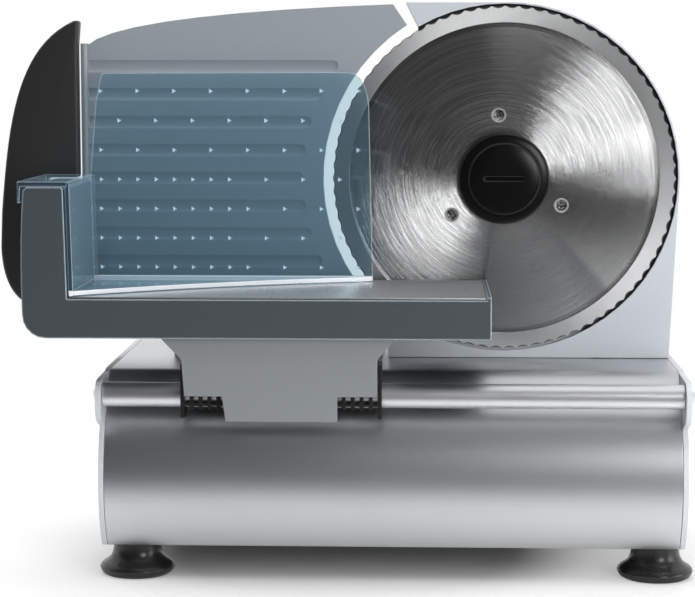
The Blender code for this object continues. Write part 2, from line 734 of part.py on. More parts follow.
def housing_outline():
    """Anticlockwise from the foot: right edge, round the blade, flat top, slant and the hidden left side."""
    right = arc(0, BLADE_Z, HOUSING_R, 0, 85, 14)
    start = math.degrees(math.acos(-0.0480 / HIDDEN_R))
    end = 180 + math.degrees(math.acos(-LEFT_FOOT / HIDDEN_R))
    left = arc(0, BLADE_Z, HIDDEN_R, start, end, 14)
    return ([(LEFT_FOOT, HOUSING_LOW), (0.0925, HOUSING_LOW)] + right
            + [(-0.0546, HOUSING_TOP), (-0.0480, HOUSING_TOP - 0.0131)] + left)


OUTLINE = housing_outline()
housing = prism("blade_housing", OUTLINE, "Y", HOUSING_FRONT, HOUSING_BACK, PALE, ROOT, True)
POCKET_R = GEAR_R + 0.45 * TOOTH_H + 0.0012
POCKET_BACK = GEAR_BACK + 0.0005
CHANNEL = WORM_R + 0.0030
hollow = prism("housing_hollow", inset(OUTLINE, WALL), "Y", RECESS_FLOOR + WALL, HOUSING_BACK + 0.001, None, ROOT)
cut(
    hollow,
    rod("pocket_ring", "Y", CENTRE, POCKET_R + WALL, 0, HOUSING_BACK + 0.002, 36, None, ROOT),
    prism("channel_wall", box_outline(WORM_X - CHANNEL - WALL, WORM_X + CHANNEL + WALL, HOUSING_LOW - 0.002,
                                      SHAFT_TOP + 0.004), "Y", 0, HOUSING_BACK + 0.002, None, ROOT),
)
BOSS_BACK = RING_Y - 0.0015
fuse(housing, rod("spindle_boss", "Y", CENTRE, BUSH_R + 0.0040, POCKET_BACK + 0.0020, BOSS_BACK, 20, None, ROOT))
cut(
    housing,
    revolve("blade_recess", [(0, -0.001), (RECESS_R, -0.001), (RECESS_R, RECESS_FLOOR), (POCKET_R, RECESS_FLOOR),
                             (POCKET_R, POCKET_BACK), (BUSH_R + GAP, POCKET_BACK), (BUSH_R + GAP, BOSS_BACK + 0.001),
                             (0, BOSS_BACK + 0.001)], "Y", CENTRE, 60, None, ROOT),
    hollow,
)
COVER_SCREWS = ((-0.0520, BLADE_Z - 0.0840), (0.0780, BLADE_Z - 0.0840), (0.0640, BLADE_Z + 0.0520),
                (-0.0380, BLADE_Z + 0.0860))
for i, at in enumerate(COVER_SCREWS, 1):
    fuse(housing, rod(f"cover_post_{i}", "Y", at, 0.0045, RECESS_FLOOR + 0.001, HOUSING_BACK - GAP, 12, None, ROOT))
for i, at in enumerate(COVER_SCREWS, 1):
    cut(housing, rod(f"post_bore_{i}", "Y", at, 0.0016 + GAP, 0.0090, HOUSING_BACK + 0.001, 12, None, ROOT))
cut(
    housing,
    prism("worm_channel", box_outline(WORM_X - CHANNEL, WORM_X + CHANNEL, HOUSING_LOW - 0.001, BUSH_LOW - 0.001),
          "Y", RECESS_FLOOR - 0.0015, WORM_Y + CHANNEL - 0.0010, None, ROOT),
    rod("bush_seat", "Z", WORM_AT, WORM_BUSH_R + GAP, BUSH_LOW - 0.002, SHAFT_TOP + GAP, 20, None, ROOT),
)
revolve(
    "spindle_bush",
    [(SPINDLE_R + GAP, POCKET_BACK + GAP), (BUSH_R, POCKET_BACK + GAP), (BUSH_R, BOSS_BACK),
     (SPINDLE_R + GAP, BOSS_BACK)],
    "Y", CENTRE, 20, BRONZE, ROOT,
)

COVER_FRONT = HOUSING_BACK + GAP
cover = prism("rear_cover", OUTLINE, "Y", COVER_FRONT, COVER_BACK, PALE, ROOT, True)
cut(cover, prism("cover_hollow", inset(OUTLINE, WALL), "Y", COVER_FRONT - 0.001, COVER_BACK - WALL, None, ROOT))
for i in range(9):
    z = BLADE_Z + 0.0180 + 0.0065 * i
    reach = 0.0360 - 0.0018 * i
    cut(cover, prism(f"cover_vent_{i}", box_outline(-reach, reach, z - 0.0013, z + 0.0013, 0.0012, 1),
                     "Y", COVER_BACK - WALL - 0.001, COVER_BACK + 0.001, None, ROOT))
for i, (x, z) in enumerate(COVER_SCREWS, 1):
    fuse(cover, rod(f"cover_tube_{i}", "Y", (x, z), 0.0055, COVER_FRONT, COVER_BACK - 0.001, 12, None, ROOT))
    cut(cover, revolve(
        f"tube_bore_{i}",
        [(0, COVER_FRONT - 0.001), (0.0016 + GAP, COVER_FRONT - 0.001), (0.0016 + GAP, COVER_BACK - 0.0060),
         (0.0035 + GAP, COVER_BACK - 0.0060), (0.0035 + GAP, COVER_BACK + 0.001), (0, COVER_BACK + 0.001)],
        "Y", (x, z), 12, None, ROOT,
    ))
    revolve(
        f"cover_screw_{i}",
        [(0, 0.0110), (0.0016, 0.0110), (0.0016, COVER_BACK - 0.0057), (0.0035, COVER_BACK - 0.0057),
         (0.0035, COVER_BACK - 0.0040), (0.0026, COVER_BACK - 0.0032), (0, COVER_BACK - 0.0032)],
        "Y", (x, z), 12, POLISHED, ROOT,
    )

# On and off switch: a rocker in its frame on the rear cover, drawn at off

ROCKER_W, ROCKER_H, ROCKER_TILT = 0.0120, 0.0190, 8.0
FRAME_DEPTH = 0.0150
frame = prism("switch_frame", box_outline(SWITCH_X - ROCKER_W / 2 - 0.0030, SWITCH_X + ROCKER_W / 2 + 0.0030,
                                          SWITCH_Z - ROCKER_H / 2 - 0.0030, SWITCH_Z + ROCKER_H / 2 + 0.0030, 0.0015),
              "Y", COVER_BACK + GAP, COVER_BACK + 0.0022, BLACK, ROOT)
neck = prism("switch_neck", box_outline(SWITCH_X - ROCKER_W / 2 - 0.0015, SWITCH_X + ROCKER_W / 2 + 0.0015,
                                        SWITCH_Z - ROCKER_H / 2 - 0.0015, SWITCH_Z + ROCKER_H / 2 + 0.0015),
             "Y", COVER_BACK - FRAME_DEPTH, COVER_BACK + 0.001, None, ROOT)
fuse(frame, neck)
cut(frame, prism("switch_mouth", box_outline(SWITCH_X - ROCKER_W / 2 - FIT, SWITCH_X + ROCKER_W / 2 + FIT,
                                             SWITCH_Z - ROCKER_H / 2 - FIT, SWITCH_Z + ROCKER_H / 2 + FIT),
                 "Y", COVER_BACK - FRAME_DEPTH + 0.0015, COVER_BACK + 0.004, None, ROOT))
cut(cover, prism("switch_window", box_outline(
    SWITCH_X - ROCKER_W / 2 - 0.0015 - GAP, SWITCH_X + ROCKER_W / 2 + 0.0015 + GAP,
    SWITCH_Z - ROCKER_H / 2 - 0.0015 - GAP, SWITCH_Z + ROCKER_H / 2 + 0.0015 + GAP),
    "Y", COVER_BACK - WALL - 0.001, COVER_BACK + 0.001, None, ROOT))
ROCKER_CENTRE = -0.0035


def rocker():
    half = ROCKER_H / 2 - 0.0010
    outline = [(ROCKER_CENTRE - 0.0030, -0.0035), (0.0005, -half), (0.0036, -half), (0.0020, 0.0),
               (0.0036, half), (0.0005, half), (ROCKER_CENTRE - 0.0030, 0.0035)]
    points = [(COVER_BACK + y, SWITCH_Z + z) for y, z in outline]
    made = prism("power_switch", points, "X", SWITCH_X - ROCKER_W / 2, SWITCH_X + ROCKER_W / 2, BLACK, SWITCH)
    made.data.transform(
        Matrix.Translation((0, COVER_BACK, SWITCH_Z)) @ Matrix.Rotation(math.radians(-ROCKER_TILT), 4, "X")
        @ Matrix.Translation((0, -COVER_BACK, -SWITCH_Z))
    )
    return made


rocker()

# Gauge deck behind the plate: a low cover that holds two guide rods and the cam

DECK_FRONT = 0.0020
DECK_WALL = 0.0026
deck = prism("gauge_deck", box_outline(DECK_LEFT, DECK_RIGHT, DECK_FRONT, BASE_BACK - 0.0005, 0.0030, 3), "Z",
             BASE_TOP + GAP, DECK_TOP, PALE, ROOT)
cut(deck, prism("deck_hollow", box_outline(DECK_LEFT + DECK_WALL, DECK_RIGHT - DECK_WALL, DECK_FRONT + DECK_WALL,
                                           BASE_BACK - 0.0005 - DECK_WALL), "Z", BASE_TOP - 0.001,
                DECK_TOP - 0.0024, None, ROOT))
LEG_W = 0.0080
LEG_FRONT = 0.0090
LEG_BACK = 0.0270
LEG_LOW = CAM_Z - 0.0070
ROD_ENDS = (DECK_FRONT + 0.0012, BASE_BACK - 0.0005 - 0.0012)
for side, way in (("left", -1), ("right", 1)):
    x = CAM_X + way * LEG_OFFSET
    cut(
        deck,
        prism(f"leg_slot_{side}", box_outline(x - LEG_W / 2 - 0.0008, x + LEG_W / 2 + 0.0008, LEG_FRONT - 0.0015,
                                              LEG_BACK + GAUGE_TRAVEL + 0.0015), "Z", DECK_TOP - 0.006,
              DECK_TOP + 0.001, None, ROOT),
        rod(f"rod_seat_{side}", "Y", (x, CAM_Z), ROD_R + GAP, ROD_ENDS[0] - GAP, ROD_ENDS[1] + GAP, 14, None, ROOT),
    )
    rod(f"guide_rod_{side}", "Y", (x, CAM_Z), ROD_R, *ROD_ENDS, 14, POLISHED, ROOT)

SHAFT_FRONT = DECK_FRONT + 0.0012
DIAL_SHAFT_R = 0.0032
DIAL_FRONT = BASE_BACK + GAP
cut(deck, rod("dial_way", "Y", (CAM_X, CAM_Z), DIAL_SHAFT_R + GAP, SHAFT_FRONT - GAP, BASE_BACK + 0.001, 16, None,
              ROOT))
cam = rod("gauge_cam", "Y", (CAM_X, CAM_Z), DIAL_SHAFT_R, SHAFT_FRONT, DIAL_FRONT + 0.0120, 16, NYLON, DIAL)
PIN_AT = 0.0180
FOLLOWER_R = 0.0015
GROOVE_HALF = FOLLOWER_R + 0.0005
GROOVE_DEPTH = 0.0026
drum = rod("cam_drum", "Y", (CAM_X, CAM_Z), CAM_R, PIN_AT - 0.0060, PIN_AT + GAUGE_TRAVEL + 0.0060, 24, None, DIAL)
SPARE_TURN = 22.0
groove = helix(
    "cam_groove",
    [(CAM_R - GROOVE_DEPTH, -GROOVE_HALF), (CAM_R + 0.001, -GROOVE_HALF), (CAM_R + 0.001, GROOVE_HALF),
     (CAM_R - GROOVE_DEPTH, GROOVE_HALF)],
    "Y", (CAM_X, CAM_Z), -SPARE_TURN, (DIAL_TURN + 2 * SPARE_TURN) / 360,
    GAUGE_TRAVEL * 360 / DIAL_TURN, 24, None, DIAL,
)
groove.data.transform(Matrix.Translation((0, PIN_AT - GAUGE_TRAVEL * SPARE_TURN / DIAL_TURN, 0)))
fuse(cam, cut(drum, groove))

KNOB_FLUTES = 14
dial = revolve(
    "thickness_dial",
    [(0, DIAL_FRONT), (DIAL_R, DIAL_FRONT), (DIAL_R, DIAL_FRONT + 0.0045), (DIAL_R - 0.0040, DIAL_FRONT + 0.0065),
     (DIAL_R - 0.0055, DIAL_BACK - 0.0015), (DIAL_R - 0.0070, DIAL_BACK), (0, DIAL_BACK)],
    "Y", (CAM_X, CAM_Z), 28, BLACK, DIAL,
)
cut(dial, rod("dial_bore", "Y", (CAM_X, CAM_Z), DIAL_SHAFT_R + GAP, DIAL_FRONT - 0.001, DIAL_FRONT + 0.0123, 16, None,
              DIAL))
for i in range(KNOB_FLUTES):
    t = 2 * math.pi * i / KNOB_FLUTES
    at = (CAM_X + (DIAL_R - 0.0035) * math.cos(t), CAM_Z + (DIAL_R - 0.0035) * math.sin(t))
    cut(dial, rod(f"flute_{i}", "Y", at, 0.0014, DIAL_FRONT + 0.0050, DIAL_BACK + 0.001, 6, None, DIAL))

# Gauge plate: grooved face, rolled left edge; its carrier runs on the rods and follows the cam


def plate_outline():
    """Anticlockwise: bottom, the hollow arc round the blade, the slanted corner and the falling top edge."""
    low = 180 + math.degrees(math.asin((BLADE_Z - PLATE_BOTTOM) / PLATE_ARC_R))
    high = 122.6
    hollow_side = arc(0, BLADE_Z, PLATE_ARC_R, low, high, 16)
    top = bezier((-0.0618, BLADE_Z + 0.0959), (-0.1600, BLADE_Z + 0.0925), (-0.2200, BLADE_Z + 0.0850),
                 (PLATE_LEFT, BLADE_Z + 0.0731), 9)
    return [(PLATE_LEFT, PLATE_BOTTOM)] + hollow_side + top


def bezier(p0, p1, p2, p3, steps):
    points = []
    for i in range(steps + 1):
        t = i / steps
        weights = ((1 - t) ** 3, 3 * t * (1 - t) ** 2, 3 * t * t * (1 - t), t ** 3)
        points.append(tuple(sum(w * p[k] for w, p in zip(weights, (p0, p1, p2, p3))) for k in (0, 1)))
    return points


plate = prism("gauge_plate", plate_outline(), "Y", PLATE_FRONT, PLATE_FRONT + PLATE_T, PALE, PLATE, True)
LIP_R = 0.0018
lip = prism("plate_lip", box_outline(PLATE_LEFT - 0.0034, PLATE_LEFT + 0.0006, PLATE_FRONT - 0.0008,
                                     PLATE_FRONT + PLATE_T + 0.0030, LIP_R, 3),
            "Z", PLATE_BOTTOM, BLADE_Z + 0.0745, None, PLATE)
fuse(plate, lip)
GROOVE_DEEP = 0.0012
GROOVE_R = 0.0056
GROOVE_END_R = 0.1090
for i in range(GROOVES):
    rise = GROOVE_PITCH * (4 - i)
    end = -math.sqrt(GROOVE_END_R ** 2 - rise ** 2)
    z = BLADE_Z + rise
    profile = [(0, PLATE_LEFT + 0.0010), (GROOVE_R, PLATE_LEFT + 0.0010)]
    profile += [(r, h) for h, r in arc(end - GROOVE_R, 0, GROOVE_R, 90, 0, 4)]
    tool = revolve(f"plate_groove_{i}", profile, "X", (PLATE_FRONT + GROOVE_DEEP - GROOVE_R, z), 24, None, PLATE)
    cut(plate, tool)

CARRIER_X = (CAM_X - LEG_OFFSET - 0.0080, CAM_X + LEG_OFFSET + 0.0080)
CARRIER_FRONT = PLATE_FRONT + PLATE_T + GAP
carrier = prism(
    "gauge_carrier", box_outline(*CARRIER_X, DECK_TOP + 0.0010, PLATE_BOTTOM + 0.0500, 0.0030), "Y",
    CARRIER_FRONT, CARRIER_FRONT + 0.0040, GREY, PLATE,
)
bridge = prism(
    "carrier_bridge", box_outline(CARRIER_X[0] + 0.0010, CARRIER_X[1] - 0.0010, CARRIER_FRONT + 0.0010, LEG_BACK - 0.0003),
    "Z", DECK_TOP + 0.0015, DECK_TOP + 0.0055, None, PLATE,
)
fuse(carrier, bridge)
for side, way in (("left", -1), ("right", 1)):
    x = CAM_X + way * LEG_OFFSET
    leg = prism(f"carrier_leg_{side}", box_outline(x - LEG_W / 2, x + LEG_W / 2, LEG_FRONT, LEG_BACK), "Z", LEG_LOW,
                DECK_TOP + 0.0030, None, PLATE)
    web = prism(f"carrier_web_{side}", [(CARRIER_FRONT + 0.003, DECK_TOP + 0.003), (LEG_BACK - 0.002, DECK_TOP + 0.003),
                                        (CARRIER_FRONT + 0.003, PLATE_BOTTOM + 0.034)],
                "X", x - 0.0015, x + 0.0015, None, PLATE)
    fuse(carrier, leg, web)
    cut(carrier, rod(f"leg_bore_{side}", "Y", (x, CAM_Z), ROD_R + GAP, LEG_FRONT - 0.001, LEG_BACK + 0.001, 14, None,
                     PLATE))
fuse(carrier, rod("cam_follower", "X", (PIN_AT, CAM_Z), FOLLOWER_R, CAM_X + CAM_R - GROOVE_DEPTH + GAP,
                  CAM_X + LEG_OFFSET - ROD_R - 0.0010, 12, None, PLATE))
for i, x in enumerate((CARRIER_X[0] + 0.0080, CARRIER_X[1] - 0.0080), 1):
    z = PLATE_BOTTOM + 0.0420
    tail = PLATE_FRONT + 0.0020
    back = CARRIER_FRONT + 0.0040 + GAP
    revolve(
        f"plate_screw_{i}",
        [(0, tail), (0.0015, tail), (0.0015, back), (0.0032, back), (0.0030, back + 0.0014), (0.0018, back + 0.0020),
         (0, back + 0.0020)],
        "Y", (x, z), 12, POLISHED, PLATE,
    )
    way_in = rod(f"plate_screw_way_{i}", "Y", (x, z), 0.0015 + GAP, tail - GAP, back + 0.001, 12, None, PLATE)
    cut(plate, way_in)
    cut(carrier, way_in)

# Carriage: hollow tray and side upright in one moulding, steel tray plate, guard, bracket and slide


def carriage_outline():
    """Anticlockwise from the tray's lower right corner."""
    side = bulge((CARRIAGE_LEFT + 0.0012, UPRIGHT_TOP - 0.0020), (CARRIAGE_LEFT, TRAY_BOTTOM + 0.0120), -0.0009, 5)
    corner = arc(CARRIAGE_LEFT + 0.0120, TRAY_BOTTOM + 0.0120, 0.0120, 180, 270, 5)[1:]
    return ([(CARRIAGE_RIGHT, TRAY_BOTTOM), (CARRIAGE_RIGHT, TRAY_TOP), (CARRIAGE_RIGHT - 0.0022, TRAY_TOP),
             (CARRIAGE_RIGHT - 0.0022, TRAY_TOP - 0.0016), (UPRIGHT_INNER + 0.0014, TRAY_TOP - 0.0016),
             (UPRIGHT_INNER, UPRIGHT_TOP - 0.0010), (UPRIGHT_INNER - 0.0010, UPRIGHT_TOP),
             (CARRIAGE_LEFT + 0.0030, UPRIGHT_TOP)] + side + corner)


tray = prism("carriage_tray", carriage_outline(), "Y", CARRIAGE_FRONT, CARRIAGE_BACK, DARK, CARRIAGE, True)
TRAY_WALL = 0.0026
INSIDE = [
    (CARRIAGE_RIGHT - TRAY_WALL - 0.0020, TRAY_BOTTOM - 0.002), (CARRIAGE_RIGHT - TRAY_WALL - 0.0020, TRAY_TOP - 0.0046),
    (UPRIGHT_INNER - TRAY_WALL, TRAY_TOP - 0.0046), (UPRIGHT_INNER - TRAY_WALL - 0.0010, UPRIGHT_TOP - TRAY_WALL),
    (CARRIAGE_LEFT + TRAY_WALL + 0.0012, UPRIGHT_TOP - TRAY_WALL - 0.002),
    (CARRIAGE_LEFT + TRAY_WALL, TRAY_BOTTOM + 0.0120), (CARRIAGE_LEFT + 0.0080, TRAY_BOTTOM - 0.002),
]
cut(tray, prism("tray_hollow", INSIDE, "Y", CARRIAGE_FRONT + TRAY_WALL, CARRIAGE_BACK - TRAY_WALL, None, CARRIAGE))
TRAY_SCREWS = (BRACKET_LEFT + 0.0180, BRACKET_RIGHT - 0.0180)
TRAY_SCREW_Y = -0.0530
FLANGE_LOW = TRAY_BOTTOM - GAP - 0.0035
for side, x in zip(("left", "right"), TRAY_SCREWS):
    fuse(tray, rod(f"tray_boss_{side}", "Z", (x, TRAY_SCREW_Y), 0.0042, TRAY_BOTTOM, TRAY_TOP - 0.0040, 12, None,
                   CARRIAGE))
    cut(tray, rod(f"tray_pilot_{side}", "Z", (x, TRAY_SCREW_Y), 0.0016 + GAP, TRAY_BOTTOM - 0.001,
                  TRAY_BOTTOM + 0.0120, 12, None, CARRIAGE))
    low = FLANGE_LOW - GAP
    revolve(
        f"carriage_screw_{side}",
        [(0, low - 0.0020), (0.0024, low - 0.0020), (0.0032, low - 0.0008), (0.0032, low), (0.0016, low),
         (0.0016, TRAY_BOTTOM + 0.0110), (0, TRAY_BOTTOM + 0.0110)],
        "Z", (x, TRAY_SCREW_Y), 12, POLISHED, CARRIAGE,
    )

SHEET_LOW = TRAY_TOP - 0.0016 + GAP
prism(
    "tray_plate", box_outline(UPRIGHT_INNER + 0.0014 + 0.0006, CARRIAGE_RIGHT - 0.0022 - GAP, CARRIAGE_FRONT + 0.0012,
                              CARRIAGE_BACK - 0.0005, 0.0010, 2),
    "Z", SHEET_LOW, SHEET_LOW + 0.0008, BRUSHED, CARRIAGE,
)

# The bracket's front silhouette meets its side profile: the common solid is the bracket
BRACKET_FRONT = -0.0920
BLOCK_FRONT = -0.0843
BLOCK_BACK = -0.0676
BLOCK_TOP = RAIL_Z + 0.0172
BRACKET_TOP = TRAY_BOTTOM - GAP
SHOULDER_Z = BLADE_Z - 0.1088
WAIST_Z = BLADE_Z - 0.0896
WAIST = 0.0118
TONGUE_IN = 0.0210
side_profile = [
    (BRACKET_FRONT, BRACKET_BOTTOM), (BLOCK_FRONT - GAP, BRACKET_BOTTOM), (BLOCK_FRONT - GAP, BLOCK_TOP + GAP),
    (BLOCK_BACK + 0.003, BLOCK_TOP + GAP), (BLOCK_BACK + 0.003, FLANGE_LOW), (-0.0450, FLANGE_LOW),
    (-0.0450, BRACKET_TOP), (BRACKET_FRONT, BRACKET_TOP),
]
silhouette = [
    (BRACKET_LEFT + WAIST + TONGUE_IN + 0.0020, BRACKET_BOTTOM - 0.001), (BRACKET_RIGHT - 0.0310, BRACKET_BOTTOM - 0.001),
    (BRACKET_RIGHT - 0.0310, SHOULDER_Z), (BRACKET_RIGHT - 0.0102, SHOULDER_Z), (BRACKET_RIGHT - 0.0103, WAIST_Z),
    (BRACKET_RIGHT, BRACKET_TOP + 0.001), (BRACKET_LEFT, BRACKET_TOP + 0.001), (BRACKET_LEFT + WAIST, WAIST_Z),
    (BRACKET_LEFT + WAIST + 0.0014, SHOULDER_Z), (BRACKET_LEFT + WAIST + TONGUE_IN, SHOULDER_Z),
]
bracket = prism("carriage_bracket", side_profile, "X", BRACKET_LEFT - 0.001, BRACKET_RIGHT + 0.001, GREY, CARRIAGE)
boolean(bracket, prism("bracket_silhouette", silhouette, "Y", -0.100, -0.040, None, CARRIAGE), "INTERSECT")
for side, x in zip(("left", "right"), TRAY_SCREWS):
    cut(bracket, rod(f"flange_hole_{side}", "Z", (x, TRAY_SCREW_Y), 0.0016 + GAP, FLANGE_LOW - 0.001,
                     BRACKET_TOP + 0.001, 12, None, CARRIAGE))

# Slide block: a ribbed sleeve on the rail, combed below, with a taller plate at each end
BLOCK_LEFT = BRACKET_LEFT + WAIST + 0.0003
BLOCK_RIGHT = BRACKET_RIGHT - 0.0098
COMB_PITCH = 0.0047
COMB_SLOT = 0.0027
BLOCK_LOW = 0.0951
block_profile = [
    (BLOCK_FRONT, BLOCK_LOW), (BLOCK_BACK - 0.0035, BLOCK_LOW), (BLOCK_BACK, BLOCK_LOW + 0.0050),
    (BLOCK_BACK, BLOCK_TOP), (BLOCK_FRONT, BLOCK_TOP),
]
block = prism("slide_block", block_profile, "X", BLOCK_LEFT, BLOCK_RIGHT, BLACK, CARRIAGE)
END_T = 0.0016
for side, low in (("left", BLOCK_LEFT - END_T), ("right", BLOCK_RIGHT)):
    tall = [(BLOCK_FRONT, BRACKET_BOTTOM + 0.0005), (BLOCK_BACK - 0.0055, BRACKET_BOTTOM + 0.0005),
            (BLOCK_BACK, BLOCK_LOW + 0.0050), (BLOCK_BACK, BLOCK_TOP), (BLOCK_FRONT, BLOCK_TOP)]
    fuse(block, prism(f"block_end_{side}", tall, "X", low - 0.0002, low + END_T + 0.0002, None, CARRIAGE))
SLOT_TOP = SHOULDER_Z + 0.0020
SLOT_LOW = BLOCK_LOW + 0.0032
for side, start, way in (("left", BLOCK_LEFT, 1), ("right", BLOCK_RIGHT, -1)):
    for i in range(5):
        x = start + way * (COMB_SLOT / 2 + 0.0003 + COMB_PITCH * i)
        ends = (x - COMB_SLOT / 2, x + COMB_SLOT / 2)
        cut(
            block,
            prism(f"comb_window_{side}_{i}", box_outline(*ends, SLOT_LOW, SLOT_TOP), "Y", BLOCK_FRONT - 0.001, RAIL_Y,
                  None, CARRIAGE),
            prism(f"comb_notch_{side}_{i}", box_outline(*ends, BLOCK_LOW - 0.001, BLOCK_LOW + 0.0018), "Y",
                  BLOCK_FRONT - 0.001, BLOCK_BACK + 0.001, None, CARRIAGE),
        )
cut(block, rod("block_bore", "X", (RAIL_Y, RAIL_Z), RAIL_R + FIT, BLOCK_LEFT - 0.004, BLOCK_RIGHT + 0.004, 28, None,
               CARRIAGE))

# Thumb guard: a D-shaped shield on the upright's outer side, taller than the upright
GUARD_BACK = -0.0040
GUARD_LEFT = LOWEST_X


def guard_outline():
    """Anticlockwise from the lower end on the upright's side."""
    right = CARRIAGE_LEFT - 0.0012
    return ([(right, 0.1420), (right, UPRIGHT_TOP + 0.0040), (-0.2362, UPRIGHT_TOP + 0.0040),
             (-0.2362, BLADE_Z + 0.0730), (-0.2336, BLADE_Z + 0.0871)]
            + bezier((-0.2456, BLADE_Z + 0.0850), (-0.2690, BLADE_Z + 0.0720), (-0.2740, BLADE_Z + 0.0300),
                     (GUARD_LEFT + 0.0008, BLADE_Z - 0.0180), 8)
            + bezier((GUARD_LEFT, BLADE_Z - 0.0380), (GUARD_LEFT + 0.0005, BLADE_Z - 0.0560),
                     (GUARD_LEFT + 0.0060, BLADE_Z - 0.0660), (-0.2640, BLADE_Z - 0.0700), 5))


guard = prism("thumb_guard", guard_outline(), "Y", GUARD_FRONT, GUARD_BACK, BLACK, CARRIAGE, True)
soften(guard, 0.0020, 2, 60)

# Food pusher: a clear frame, with side wall, saddle over the upright and foot web, and its spiked plate
WALL_X = UPRIGHT_INNER + 0.0014 + 0.0008
LEAN = 0.0014
EDGE_LEAN = 0.0022
PUSHER_LOW = SHEET_LOW + 0.0008 + FIT
SADDLE_LOW = UPRIGHT_TOP + GAP
SADDLE_TOP = SADDLE_LOW + PUSHER_T
PUSHER_FRONT = CARRIAGE_FRONT
SADDLE_BACK = GUARD_FRONT - 0.0012
FRAME_BACK = PUSHER_BACK - PUSHER_T - GAP
frame = prism(
    "food_pusher",
    [(WALL_X + 0.0002, PUSHER_LOW), (WALL_X + PUSHER_T, PUSHER_LOW), (WALL_X + PUSHER_T - LEAN, SADDLE_TOP - 0.0002),
     (WALL_X + 0.0002 - LEAN, SADDLE_TOP - 0.0002)],
    "Y", PUSHER_FRONT + 0.0001, FRAME_BACK, CLEAR, PUSHER, True,
)
saddle = prism(
    "pusher_saddle",
    [(WALL_X + 0.0010 - LEAN, SADDLE_LOW), (WALL_X + 0.0010 - LEAN, SADDLE_TOP), (CARRIAGE_LEFT - 0.0016, SADDLE_TOP),
     (CARRIAGE_LEFT - 0.0016, SADDLE_TOP - 0.0110), (CARRIAGE_LEFT - 0.0006, SADDLE_TOP - 0.0110),
     (CARRIAGE_LEFT - 0.0002, SADDLE_LOW)],
    "Y", PUSHER_FRONT, SADDLE_BACK, None, PUSHER,
)
web = prism(
    "pusher_web",
    bulge((WALL_X + 0.0010, PUSHER_FRONT + 0.0002), (PUSHER_RIGHT + EDGE_LEAN - 0.0005, FRAME_BACK - 0.0010), 0.0080, 8)
    + [(PUSHER_RIGHT + EDGE_LEAN - 0.0005, FRAME_BACK - 0.0001), (WALL_X + 0.0010, FRAME_BACK - 0.0001)],
    "Z", PUSHER_LOW + 0.0002, PUSHER_LOW + PUSHER_T, None, PUSHER,
)
fuse(frame, saddle, web)


def pusher_outline():
    """The plate's outline: a leaning right edge, a wide upper corner and a stepped left edge."""
    corner = bezier((PUSHER_RIGHT, PUSHER_TOP - PUSHER_CORNER_H), (PUSHER_RIGHT - 0.0006, PUSHER_TOP - 0.0075),
                    (PUSHER_RIGHT - 0.0050, PUSHER_TOP), (PUSHER_RIGHT - PUSHER_CORNER_W, PUSHER_TOP), 5)
    left = rounded([(WALL_X + 0.0054, PUSHER_TOP, 0.0030), (WALL_X + 0.0020, PUSHER_TOP - 0.0160, 0.0060),
                    (WALL_X - LEAN, SADDLE_TOP, 0), (WALL_X, PUSHER_LOW, 0),
                    (PUSHER_RIGHT + EDGE_LEAN, PUSHER_LOW, 0), (PUSHER_RIGHT, PUSHER_TOP - 0.0200, 0)], 3)
    return left + corner


plate = prism("pusher_plate", pusher_outline(), "Y", PUSHER_BACK - PUSHER_T, PUSHER_BACK, CLEAR, PUSHER, True)


def spikes():
    """Three-sided points on the plate's back: staggered rows, at half the pitch in the lower left."""
    mesh = bmesh.new()
    high = BLADE_Z + 0.0484
    drop = 0.0162
    for row in range(SPIKE_ROWS):
        z = high - drop * row
        x = PUSHER_RIGHT - 0.0061 - SPIKE_PITCH * (row % 2) / 2
        while x > WALL_X + 0.0030:
            corners = [Vector((1.7 * math.cos(t), 1.7 * math.sin(t))) for t in (0, 2.1, 4.2)]
            ring = [mesh.verts.new((x + c.x / 1000, PUSHER_BACK - 0.0006, z + c.y / 1000)) for c in corners]
            tip = mesh.verts.new((x, PUSHER_BACK + SPIKE_H, z))
            mesh.faces.new(ring)
            for k in range(3):
                mesh.faces.new((ring[k - 1], ring[k], tip))
            close = row >= 3 and x < PUSHER_RIGHT - 0.0650
            x -= SPIKE_PITCH / 2 if close else SPIKE_PITCH
    return body("pusher_spikes", mesh, None, PUSHER)


fuse(plate, spikes())

# Cord inlet: a ribbed rubber gland in the back of the base
INLET = (0.0300, 0.0450)
GLAND_HEAD = BASE_BACK + GAP
inlet = revolve(
    "cord_gland",
    [(0.0040, BASE_BACK - 0.0080), (0.0066, BASE_BACK - 0.0080), (0.0066, BASE_BACK - 0.0045),
     (0.0058, BASE_BACK - 0.0045), (0.0058, GLAND_HEAD), (0.0085, GLAND_HEAD), (0.0085, GLAND_HEAD + 0.0025),
     (0.0062, GLAND_HEAD + 0.0030), (0.0055, GLAND_HEAD + 0.0150), (0.0040, GLAND_HEAD + 0.0150)],
    "Y", INLET, 18, RUBBER, ROOT,
)
cut(shell, rod("gland_hole", "Y", INLET, 0.0058 + GAP, BASE_BACK - 0.0200, BASE_BACK + 0.004, 18, None, ROOT))
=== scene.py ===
import math

import bmesh
import bpy
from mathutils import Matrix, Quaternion, Vector
from mathutils.geometry import interpolate_bezier


